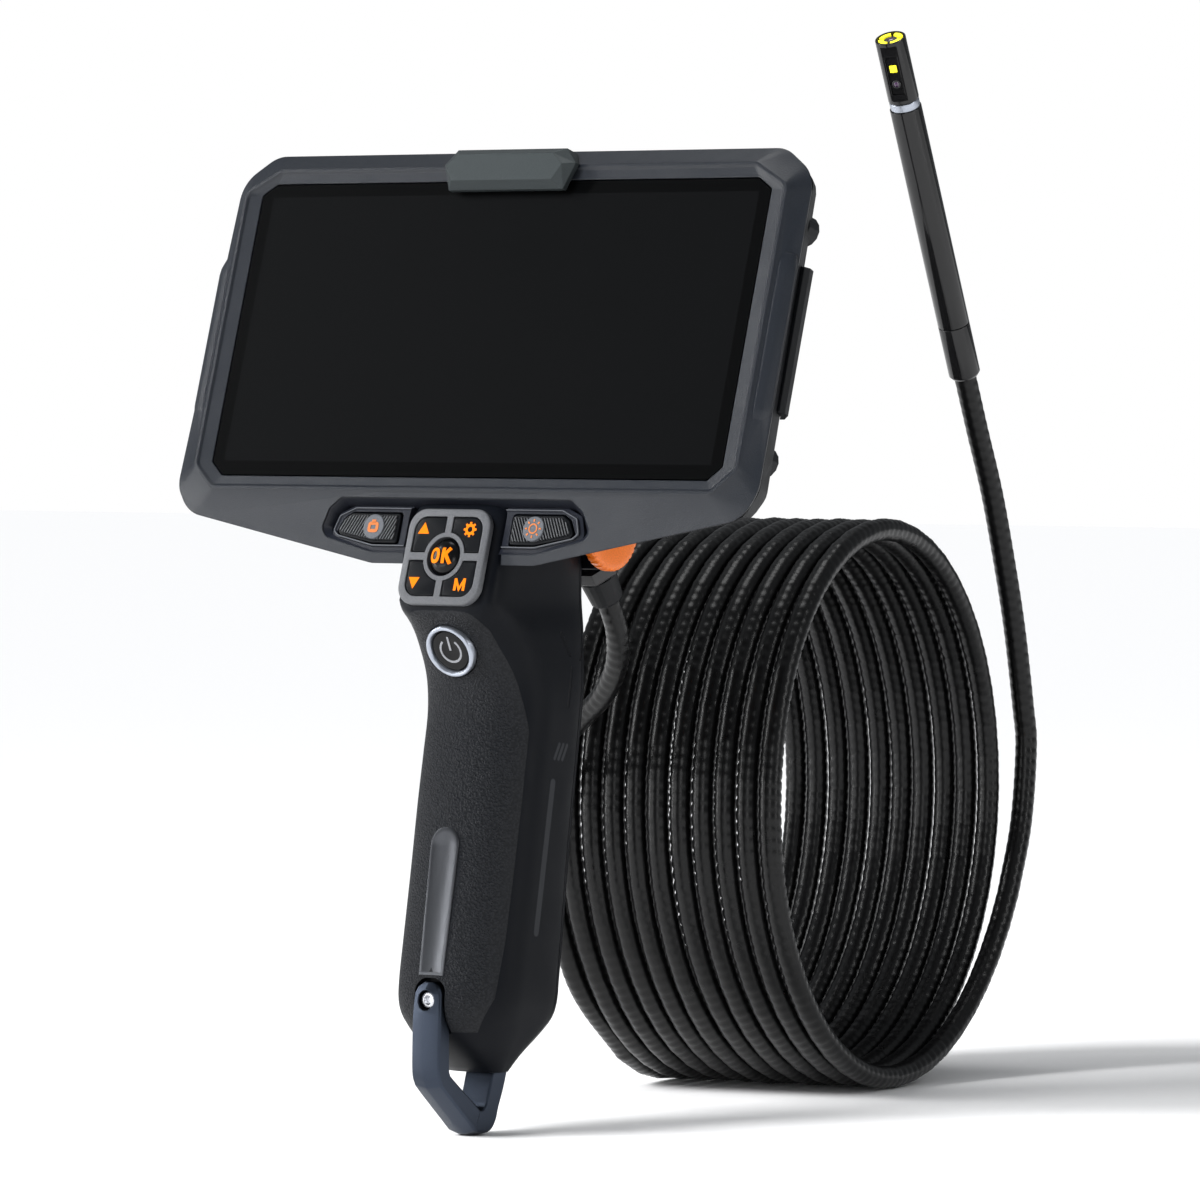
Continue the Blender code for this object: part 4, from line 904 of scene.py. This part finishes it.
def power_tool(radius, low, high):
    return turned("round", [(low, radius), (high, radius)], POWER_AT, POWER_OUT, "dark", 96,
                  Vector((1, 0, 0)))


def loop_channel():
    rings = []
    for z, half in ((-159.2, 1.6), (-159.7, 2.7), (-160.4, 3.6), (-161.2, 4.25), (-162.2, 4.6),
                    (-190.0, 4.6)):
        rings.append([(-half, -32, z), (half, -32, z), (half, -20.1, z), (-half, -20.1, z)])
    return shape("channel", *loft(rings), "dark")


SKIN_EDGE = [(-69.2, 3), (-69.5, 13), (-70.2, 22), (-71.5, 31), (-74, 40), (-81, 47), (-91, 55), (-99, 64),
             (-117, 65),
             (-150, 63), (-164, 59), (-172.5, 42)]


def grip():
    """The leather skin; its fade attribute is 0 at its edge and 1 inside."""
    levels = [-69.2, -69.35, -69.5, -69.85, -70.2, -70.85, -71.5,
              -72.7] + [-74.0 - 1.5 * k for k in range(66)]
    low_edge = SKIN_EDGE[-1][0]
    levels = [z for z in levels if z > -172.0] + [low_edge]
    columns, rings, fades = 73, [], []
    for z in levels:
        edge = math.radians(interpolate(SKIN_EDGE, z)[0])
        span = [-edge + 2 * edge * k / (columns - 1) for k in range(columns)]
        rings.append(handle_ring(z, -0.03, span=span) + list(reversed(handle_ring(z, 0.6, span=span))))
        for k in range(2 * columns):
            column = min(k, 2 * columns - 1 - k)
            inside = min(column, columns - 1 - column) * 2 * edge / (columns - 1) * 14
            fades.append(min(1.0, inside / 4.5, max(0.0, (levels[0] - z) / 1.6),
                             (z - low_edge) / 4.0 + 0.05))
    piece = shape("leather_grip", *loft(rings), "grip")
    fade = piece.data.attributes.new("fade", "FLOAT", "POINT")
    if len(piece.data.vertices) == len(fades):
        fade.data.foreach_set("value", fades)
    else:
        fade.data.foreach_set("value", [1.0] * len(piece.data.vertices))
    combine(piece, power_tool(POWER_BORE, -4.6, 12))
    combine(piece, loop_channel())
    place(soften(piece, 40), "grip", "grip_skin")


def plate_shape(grow):
    half, top, low = 4.3 + grow, -122.4 + grow, -158.6 - grow
    arc = [(half * math.cos(math.pi * k / 30),
            top - 4.3 + half * math.sin(math.pi * k / 30)) for k in range(31)]
    return arc + [(-half + 0.6, low), (half - 0.6, low)]


def nameplate():
    # the plate follows the grip's front line, which runs from y -15.3 at z -117 to y -23.1 at z -161
    slope = (23.1 - 15.3) / 44.0
    rings = []
    for grow, depth in ((0.0, 0.8), (0.0, 0.05), (-0.12, -0.08), (-0.35, -0.14), (-0.75, -0.14),
                        (-0.9, -0.05)):
        rings.append([(x, -15.3 - (-117.0 - z) * slope + depth, z) for x, z in plate_shape(grow)])
    place(shape("name_plate", *loft(rings), "plate"), "plate", "nameplate")


def smooth_rows(rows, steps):
    """A curve through rows of numbers, with steps spans between neighbours."""
    padded = [rows[0]] + list(rows) + [rows[-1]]
    result = []
    for a, b, c, d in zip(padded, padded[1:], padded[2:], padded[3:]):
        for k in range(steps):
            t = k / steps
            result.append(tuple((2 * q + (r - p) * t + (2 * p - 5 * q + 4 * r - s) * t * t
                                 + (3 * q - p - 3 * r + s) * t ** 3) / 2 for p, q, r, s in zip(a, b, c, d)))
    return result + [tuple(rows[-1])]


def carry_loop():
    """The bent bar with a ridge along its front, its long edges slightly broken."""
    rings = []
    rows = LOOP[:3] + smooth_rows(LOOP[3:], 4)
    for i, (y_out, z_out, y_in, z_in, ridge) in enumerate(rows):
        half = LOOP_HALF * (0.34, 0.72, 0.93)[i] if i < 3 else LOOP_HALF
        out = Vector((0, y_out - y_in, z_out - z_in)).normalized()
        crest = Vector((0, y_out, z_out)) + out * max(ridge, 0.05)
        flat = 1.2 if z_out < -196 else 0.3
        low, high = Vector((0, y_in, z_in)), Vector((0, y_out, z_out))
        soft = min(0.4, half * 0.2)
        slope = (crest - high) / (half - flat)
        rings.append([Vector((x, 0, 0)) + p for x, p in (
            (-half + soft, low), (half - soft, low), (half, low + out * soft), (half, high - out * soft),
            (half - soft, high + slope * soft), (flat, crest), (-flat, crest),
                                                         (-half + soft, high + slope * soft),
            (-half, high - out * soft), (-half, low + out * soft))])
    piece = soften(shape("loop_bar", *loft(rings), "anodised"), 28)
    at = Vector((0, -22.4, LOOP_SCREW_Z))
    combine(piece, turned("bore", [(-0.75, 2.5), (8, 2.5)], at, Vector((0, -1, 0)), "dark"))
    place(piece, "anodised", "carry_loop")
    head = [(-2, 1.0), (-0.3, 1.0), (-0.3, 2.15), (1.0, 2.15), (1.3, 2.0), (1.45, 1.7), (1.45, 1.2)]
    screw = turned("loop_bolt", head + [(1.3, 1.05), (0.3, 1.05)], at, Vector((0, -1, 0)), "steel")
    combine(screw, turned("socket", [(0.3, 1.25), (4, 1.25)], at, Vector((0, -1, 0)), "steel", 6))
    place(screw, "steel", "loop_screw")


def power_button():
    right = Vector((1, 0, 0))
    up = POWER_OUT.cross(right).normalized()
    up = up if up.z > 0 else -up
    ring = [(-3.9, 6.9), (0.45, 6.9), (0.75, 6.8), (0.95, 6.55), (1.0, 6.3), (0.95, 6.0), (0.7, 5.75),
            (0.2, 5.55), (-3.9, 5.55)]
    piece = turned("power_bezel", ring, POWER_AT, POWER_OUT, "silver", 96, right, True)
    place(soften(piece, 50), "silver", "power_ring")
    press = [(-2.6, 5.3), (-0.1, 5.3), (0.15, 5.15), (0.2, 4.9), (0.0, 3.0), (-0.1, 1.0)]
    cap = turned("power_cap", press, POWER_AT, POWER_OUT, "dome", 96, right)

    def on_button(x, h, lift):
        return POWER_AT + right * x + up * h + POWER_OUT * lift
    start = math.radians(90 + 38)
    arc = ribbon("arc", arc_line(3.0, 3.0, 48, start, math.radians(284)), 0.55, on_button, "pale_print",
                 False, 0.12)
    bar = ribbon("bar", [(0, 0.1), (0, 3.8)], 0.55, on_button, "pale_print", False, 0.12)
    place(join(cap, [arc, bar]), "gloss", "power_button", body="power_key")


def handle():
    shell, back = handle_solid("handle_front"), handle_solid("handle_rear")
    combine(shell, seam_block(-0.12, True))
    combine(back, seam_block(0.12, False))
    combine(shell, power_tool(POWER_BORE, -4.6, 12))
    combine(shell, loop_channel())
    for z in (-84.0, -158.0):
        at = Vector((0, interpolate(HANDLE, z)[1] - 1.4, z))
        combine(back, turned("bore", [(-0.65, 2.7), (8, 2.7)], at, Vector((0, 1, 0)), "dark"))
    place(soften(shell, 40), "handle", "handle_shell")
    place(soften(back, 40), "handle", "handle_back")


# ---------------------------------------------------------------- cable
def curve_points(points, spacing):
    """Evenly spaced points along a smooth curve through the given ones."""
    points = [Vector(p) for p in points]
    padded = [points[0] * 2 - points[1]] + points + [points[-1] * 2 - points[-2]]
    fine = []
    for a, b, c, d in zip(padded, padded[1:], padded[2:], padded[3:]):
        fine += [((b * 2) + (c - a) * t + (a * 2 - b * 5 + c * 4 - d) * t * t
                  + (b * 3 - a - c * 3 + d) * t ** 3) / 2
                 for t in [k / 30 for k in range(30)]]
    return evenly(fine + [points[-1]], spacing)


def evenly(line, spacing):
    total = sum((b - a).length for a, b in zip(line, line[1:]))
    pieces = max(2, round(total / spacing))
    route, run, want = [line[0]], 0.0, 1
    for a, b in zip(line, line[1:]):
        step = (b - a).length
        while want < pieces and run + step >= total * want / pieces:
            route.append(a.lerp(b, (total * want / pieces - run) / max(step, 1e-9)))
            want += 1
        run += step
    return route + [line[-1]]


def coil_line():
    """The coil's turns, worked out from radius and pitch; the last quarter swings out to the lead."""
    height = -FOOT_DROP + COIL_R + CABLE_R + 0.1
    random.seed(4)
    wobble = [(random.uniform(-0.5, 0.5), random.uniform(-0.35, 0.35)) for _ in range(12)]
    line = []
    steps = int(COIL_TURNS * 48)
    for k in range(steps + 1):
        t = COIL_TURNS * k / steps
        angle = math.pi + math.tau * t
        out = max(0.0, (t - 10.25) / 0.25)
        turn = int(t)
        blend = t - turn
        grow = wobble[turn][0] * (1 - blend) + wobble[min(turn + 1, 11)][0] * blend
        grow *= min(1.0, t / 0.5) * (1 - out)
        along = COIL_PITCH * t + (LEAD_PLANE - COIL_END_AT - 1.6) * out * out
        across = (COIL_R - abs(grow) + 6.6 * out * out) * math.cos(angle)
        line.append(coil_point(along, across, height + (COIL_R - abs(grow)) * math.sin(angle)))
    return line


def cable_route():
    base, axis, _ = probe_frame()
    coil = coil_line()
    first = curve_points([Vector(p) for p in TAIL] + coil[1:10:4], 2.0)
    lead = [coil_point(LEAD_PLANE, s, z) for s, z in LEAD]
    last = curve_points(coil[-4::2] + [coil_point(LEAD_PLANE, 79.3,
                                                  -113.0)] + lead[1:] + [base + axis * 5.5], 2.0)
    return evenly(first[:-1] + coil[10:-4] + last, BAND / 4)


def cable():
    """One continuous tube with a fine spiral groove, which ends in the probe's ferrule."""
    route = cable_route()
    sides, per_band = 14, 4
    points, faces = [], []
    start = (route[1] - route[0]).normalized()
    u = (Vector((1, 0, 0)) - start * start.x).normalized()
    for i, here in enumerate(route):
        tangent = (route[min(i + 1, len(route) - 1)] - route[max(i - 1, 0)]).normalized()
        u = (u - tangent * u.dot(tangent)).normalized()
        v = tangent.cross(u)
        for k in range(sides):
            phase = (i / per_band + k / sides) % 1.0
            groove = max(0.0, 1 - min(phase, 1 - phase) / 0.17)
            radius = CABLE_R - 0.24 * groove
            angle = math.tau * k / sides
            points.append(here + (u * math.cos(angle) + v * math.sin(angle)) * radius)
    for i in range(len(route) - 1):
        for k in range(sides):
            n = (k + 1) % sides
            faces.append((i * sides + k, i * sides + n, (i + 1) * sides + n, (i + 1) * sides + k))
    faces.append(tuple(reversed(range(sides))))
    faces.append(tuple(range((len(route) - 1) * sides, len(route) * sides)))
    mesh = bpy.data.meshes.new("cable")
    mesh.from_pydata([to_world(p) for p in points], [], faces)
    mesh.update()
    obj = bpy.data.objects.new("cable", mesh)
    bpy.context.scene.collection.objects.link(obj)
    mesh.materials.append(LOOK["cable"])
    mesh.shade_smooth()
    place(obj, "cable", "cable_tail", "cable_coil", "cable_lead")
    return obj, route


# ---------------------------------------------------------------- probe
def probe_frame():
    base = coil_point(LEAD_PLANE, *PROBE_BASE)
    tip = coil_point(LEAD_PLANE, PROBE_BASE[0] - math.sin(PROBE_LEAN), PROBE_BASE[1] + math.cos(PROBE_LEAN))
    axis = (tip - base).normalized()
    look = Vector((0.30, -0.95, 0.0))
    return base, axis, (look - axis * look.dot(axis)).normalized()


def oriented_box(name, at, low, high, paint="dark", look=None, soft=0.0):
    """A box measured along the probe, outward and sideways."""
    _, axis, front = probe_frame()
    look = look or front
    side = axis.cross(look)
    corners = [(low[1], low[2]), (high[1], low[2]), (high[1], high[2]), (low[1], high[2])]
    rows = [(low[0], 0.0), (high[0], 0.0)]
    if soft:
        rows = [(low[0], soft), (low[0] + soft, 0.0), (high[0] - soft, 0.0), (high[0], soft)]
    rings = []
    for along, less in rows:
        rings.append([at + axis * along + look * o + side * a for o, a in
                      (inset(anticlockwise(corners), less) if less else anticlockwise(corners))])
    return shape(name, *loft(rings), paint)


def rim_profile(low, high, radius, soft, steps=4):
    """A cylinder's side with both ends rounded."""
    rows = [(low + soft * (1 - math.cos(a)), radius - soft * (1 - math.sin(a)))
            for a in [math.pi / 2 * k / steps for k in range(steps + 1)]]
    return rows + [(high - soft * (1 - math.cos(a)), radius - soft * (1 - math.sin(a)))
                   for a in [math.pi / 2 * (1 - k / steps) for k in range(steps + 1)]]


def probe():
    base, axis, look = probe_frame()
    side = axis.cross(look)
    bore = CABLE_R + 0.2
    high = FERRULE_LEN + GAP + BARREL_LEN
    foot = base + axis * (high + 2.5)
    rim = HEAD_LEN
    made = []
    ferrule = [(0.0, bore), (0.0, 3.6), (0.25, 3.75)] + rim_profile(0.7, FERRULE_LEN, PROBE_R, 0.18)[3:]
    ferrule += [(FERRULE_LEN, 2.0), (7.0, 2.0), (7.0, bore)]
    made.append(place(soften(turned("ferrule", ferrule, base, axis, "gloss", 96, look, True), 30), "gloss",
                      "probe_ferrule"))
    barrel = rim_profile(FERRULE_LEN + 0.12, high, PROBE_R, 0.14)
    piece = turned("barrel", barrel + [(high, 3.0), (FERRULE_LEN + 0.12, 3.0)], base, axis, "gloss", 96,
                   look, True)
    made.append(place(soften(piece, 30), "gloss", "probe_barrel"))
    neck = [(high - 6, 1.2), (high - 6, 2.6), (high - 0.05, 2.6)] + rim_profile(high - 0.05, high + 2.2,
                                                                                3.95, 0.25)
    made.append(place(turned("ring", neck + [(high + 2.1, 1.2)], base, axis, "silver", 96, look, True),
                      "silver",
                      "swivel_ring"))
    shell = rim_profile(-0.15, rim, HEAD_R, 0.22) + [(rim, 3.55), (rim - 1.1, 3.45), (rim - 1.1, 0.6)]
    piece = turned("head", shell, foot, axis, "gloss", 96, look)
    combine(piece, oriented_box("flat", foot, (0.9, 3.35, -5), (rim - 1.0, 6, 5)))
    combine(piece, oriented_box("sunk", foot, (2.5, 2.75, -1.75), (rim - 4.0, 6, 1.75)))
    made.append(place(soften(piece, 30), "gloss", "probe_head", body="tip"))
    window = oriented_box("window", foot, (2.6, 2.5, -1.65), (rim - 4.1, 3.05, 1.65), "gloss", soft=0.1)
    made.append(place(window, "dark", "side_window", body="tip"))
    lens = [(2.7, 1.15), (3.3, 1.15), (3.4, 1.05), (3.4, 0.9), (3.25, 0.85)]
    ring = turned("lens_ring", lens, foot + axis * 5.6, look, "dark", 48)
    glass = turned("lens_glass", [(2.6, 0.85), (3.2, 0.82), (3.38, 0.6), (3.46, 0.3)], foot + axis * 5.6,
                   look, "lens", 48)
    made.append(place(join(ring, [glass]), "lens", "side_lens", body="tip"))
    led = oriented_box("led_side", foot, (9.0, 2.7, -0.95), (11.0, 3.32, 0.95), "led", soft=0.12)
    made.append(place(led, "led", "side_led", body="tip"))
    disc = turned("lens_disc", rim_profile(rim - 2.8, rim - 0.45, 1.75, 0.12), foot, axis, "dark", 64, look)
    eye = turned("eye", [(rim - 1, 0.95), (rim - 0.35, 0.9), (rim - 0.25, 0.5)], foot, axis, "lens", 48,
                 look)
    made.append(place(join(disc, [eye]), "dark", "front_lens_disc", body="tip"))
    for k in range(4):
        made.append(led_segment(k, foot, axis, look, side, rim))
    return made


def led_segment(k, foot, axis, look, side, rim):
    """One of four lit segments round the end lens."""
    middle = math.radians(45 + 90 * k)
    arc = [middle + math.radians(34) * (2 * i / 10 - 1) for i in range(11)]
    outline = [(3.25, a) for a in arc] + [(2.05, a) for a in reversed(arc)]
    rings = [[foot + axis * along + (look * math.cos(a) + side * math.sin(a)) * r for r, a in outline]
             for along in (rim - 1.05, rim - 0.2)]
    return place(shape("led_end_%d" % (k + 1), *loft(rings), "led"), "led", "front_led_%d" % (k + 1),
                 body="tip")


# ---------------------------------------------------------------- rear dial
def dial():
    """The knurled wheel and its hub on the end of the rear pod."""
    right, up = Vector((1, 0, 0)), Vector((0, 0, 1))
    profile = [(15.3, 4.6), (18.3, 4.6), (18.4, 5.2), (18.4, 8.6), (18.4, 9.6), (18.2, 10.1), (17.7, 10.45),
               (16.1, 10.45), (15.5, 10.2), (15.3, 9.8)]
    rings = []
    for along, radius in profile:
        ring = []
        for k in range(216):
            angle = math.tau * k / 216
            notch = 0.28 if k % 6 in (0, 1) and radius > 9 else 0.0
            r = radius - notch
            ring.append(POD_AXIS + right * along + Vector((0, math.cos(angle) * r, math.sin(angle) * r)))
        rings.append(ring)
    place(shape("wheel", *loft(rings, hoop=True), "orange"), "orange", "dial_ring", body="dial")
    hub = [(7.2, 2.15), (15.35, 2.15), (15.35, 4.4), (18.6, 4.4), (18.9, 4.3), (19.0, 4.0), (19.0, 2.4),
           (18.7, 2.0),
           (18.6, 1.0)]
    place(turned("hub", hub, POD_AXIS, right, "gloss", 96, up), "gloss", "dial_hub", body="dial")


# ---------------------------------------------------------------- stage and view
def paint_solids():
    """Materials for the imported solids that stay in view."""
    paints = {"screen_glass": "glass", "lcd_panel": "panel", "main_board": "board", "badge_plate": "badge",
              "key_board": "board", "battery_cell": "cell", "charge_socket": "steel", "port_door": "rubber",
              "rear_pod": "handle", "rear_housing": "rubber", "gland_nut": "dark", "cable_boot": "rubber"}
    for name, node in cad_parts.items():
        paint = paints.get(name, "steel" if "screw" in name else None)
        if paint:
            node.data.materials.clear()
            node.data.materials.append(LOOK[paint])


def camera():
    right = Vector((math.cos(VIEW_AZ), math.sin(VIEW_AZ), 0))
    back = Vector((math.sin(VIEW_AZ) * math.cos(VIEW_EL), -math.cos(VIEW_AZ) * math.cos(VIEW_EL),
                   math.sin(VIEW_EL)))
    up = back.cross(right)
    at = to_world((0, 0, 0)) + (back * VIEW_BACK - right * VIEW_RIGHT - up * VIEW_UP) * MM
    data = bpy.data.cameras.new("camera")
    data.lens, data.sensor_width, data.clip_end = LENS, SENSOR, 50
    obj = bpy.data.objects.new("camera", data)
    obj.matrix_world = Matrix(((right.x, up.x, back.x, at.x), (right.y, up.y, back.y, at.y),
                               (right.z, up.z, back.z, at.z), (0, 0, 0, 1)))
    bpy.context.scene.collection.objects.link(obj)
    bpy.context.scene.camera = obj


def lamp(name, at, aim, size, power, size_y=None):
    data = bpy.data.lights.new(name, "AREA")
    data.energy, data.size = power, size
    if size_y:
        data.shape, data.size_y = "RECTANGLE", size_y
    obj = bpy.data.objects.new(name, data)
    obj.location = at
    obj.rotation_euler = (Vector(aim) - Vector(at)).to_track_quat("-Z", "Y").to_euler()
    bpy.context.scene.collection.objects.link(obj)


def studio():
    world = bpy.data.worlds.new("studio")
    bpy.context.scene.world = world
    world.use_nodes = True
    tree = world.node_tree
    seen, lit = tree.nodes["Background"], tree.nodes.new("ShaderNodeBackground")
    seen.inputs[0].default_value, seen.inputs[1].default_value = (1, 1, 1, 1), 1.0
    lit.inputs[0].default_value, lit.inputs[1].default_value = (0.92, 0.96, 1, 1), 0.22
    # the eye sees a white studio, and the surfaces a dimmer one
    pick, ray = tree.nodes.new("ShaderNodeMixShader"), tree.nodes.new("ShaderNodeLightPath")
    tree.links.new(ray.outputs["Is Camera Ray"], pick.inputs[0])
    tree.links.new(lit.outputs[0], pick.inputs[1])
    tree.links.new(seen.outputs[0], pick.inputs[2])
    tree.links.new(pick.outputs[0], tree.nodes["World Output"].inputs[0])
    floor = bpy.data.meshes.new("floor")
    size = 6.0
    floor.from_pydata([(-size, -size, 0), (size, -size, 0), (size, size, 0), (-size, size, 0)], [],
                      [(0, 1, 2, 3)])
    floor_obj = bpy.data.objects.new("floor", floor)
    bpy.context.scene.collection.objects.link(floor_obj)
    paper = Shader("mat_floor", (0.93, 0.93, 0.935), 0.75)
    paper.speckle(0.01, 0.4)
    floor.materials.append(paper.mat)
    right = Vector((math.cos(VIEW_AZ), math.sin(VIEW_AZ), 0))
    front = Vector((math.sin(VIEW_AZ), -math.cos(VIEW_AZ), 0))
    up = Vector((0, 0, 1))
    aim = Vector((0, 0.02, 0.13))
    sun = bpy.data.lights.new("sun", "SUN")
    sun.energy, sun.angle = 5.2, math.radians(26)
    sun_obj = bpy.data.objects.new("sun", sun)
    toward = front * 0.42 - right * 0.72 + up * 0.58
    sun_obj.rotation_euler = toward.to_track_quat("Z", "Y").to_euler()
    bpy.context.scene.collection.objects.link(sun_obj)
    # the sun lights the colours and casts the shadow; the boxes give the shine
    sun_obj.visible_glossy = False
    lamp("front_box", aim + front * 0.55 - right * 1.10, aim, 0.6, 2.2, 0.35)
    lamp("camera_box", aim + front * 1.5 - right * 0.05 + up * 0.25, aim, 0.45, 2.4)
    lamp("left_strip", aim - right * 0.95 - front * 0.1 + up * 0.25, aim, 0.10, 4.5, 0.9)
    lamp("right_strip", aim + right * 0.8 + front * 0.35 + up * 0.35, aim, 0.08, 2.0, 0.8)
    lamp("top", aim + up * 1.1 - front * 0.3, aim, 0.5, 3)


def build():
    camera()
    obj, route = cable()
    pieces = probe()
    paint_solids()
    bezel()
    for side, sign, node, body, icon in (("left", -1, "photo_button", "photo_key", camera_icon),
                                         ("right", 1, "light_button", "light_key", sun_icon)):
        deck(side, sign)
        side_button(sign, node, body, icon)
    keypad()
    handle()
    grip()
    nameplate()
    carry_loop()
    power_button()
    dial()
    studio()


LOOK = make_materials()
bpy.context.scene.view_settings.view_transform = "Standard"
build()
bpy.context.view_layer.update()
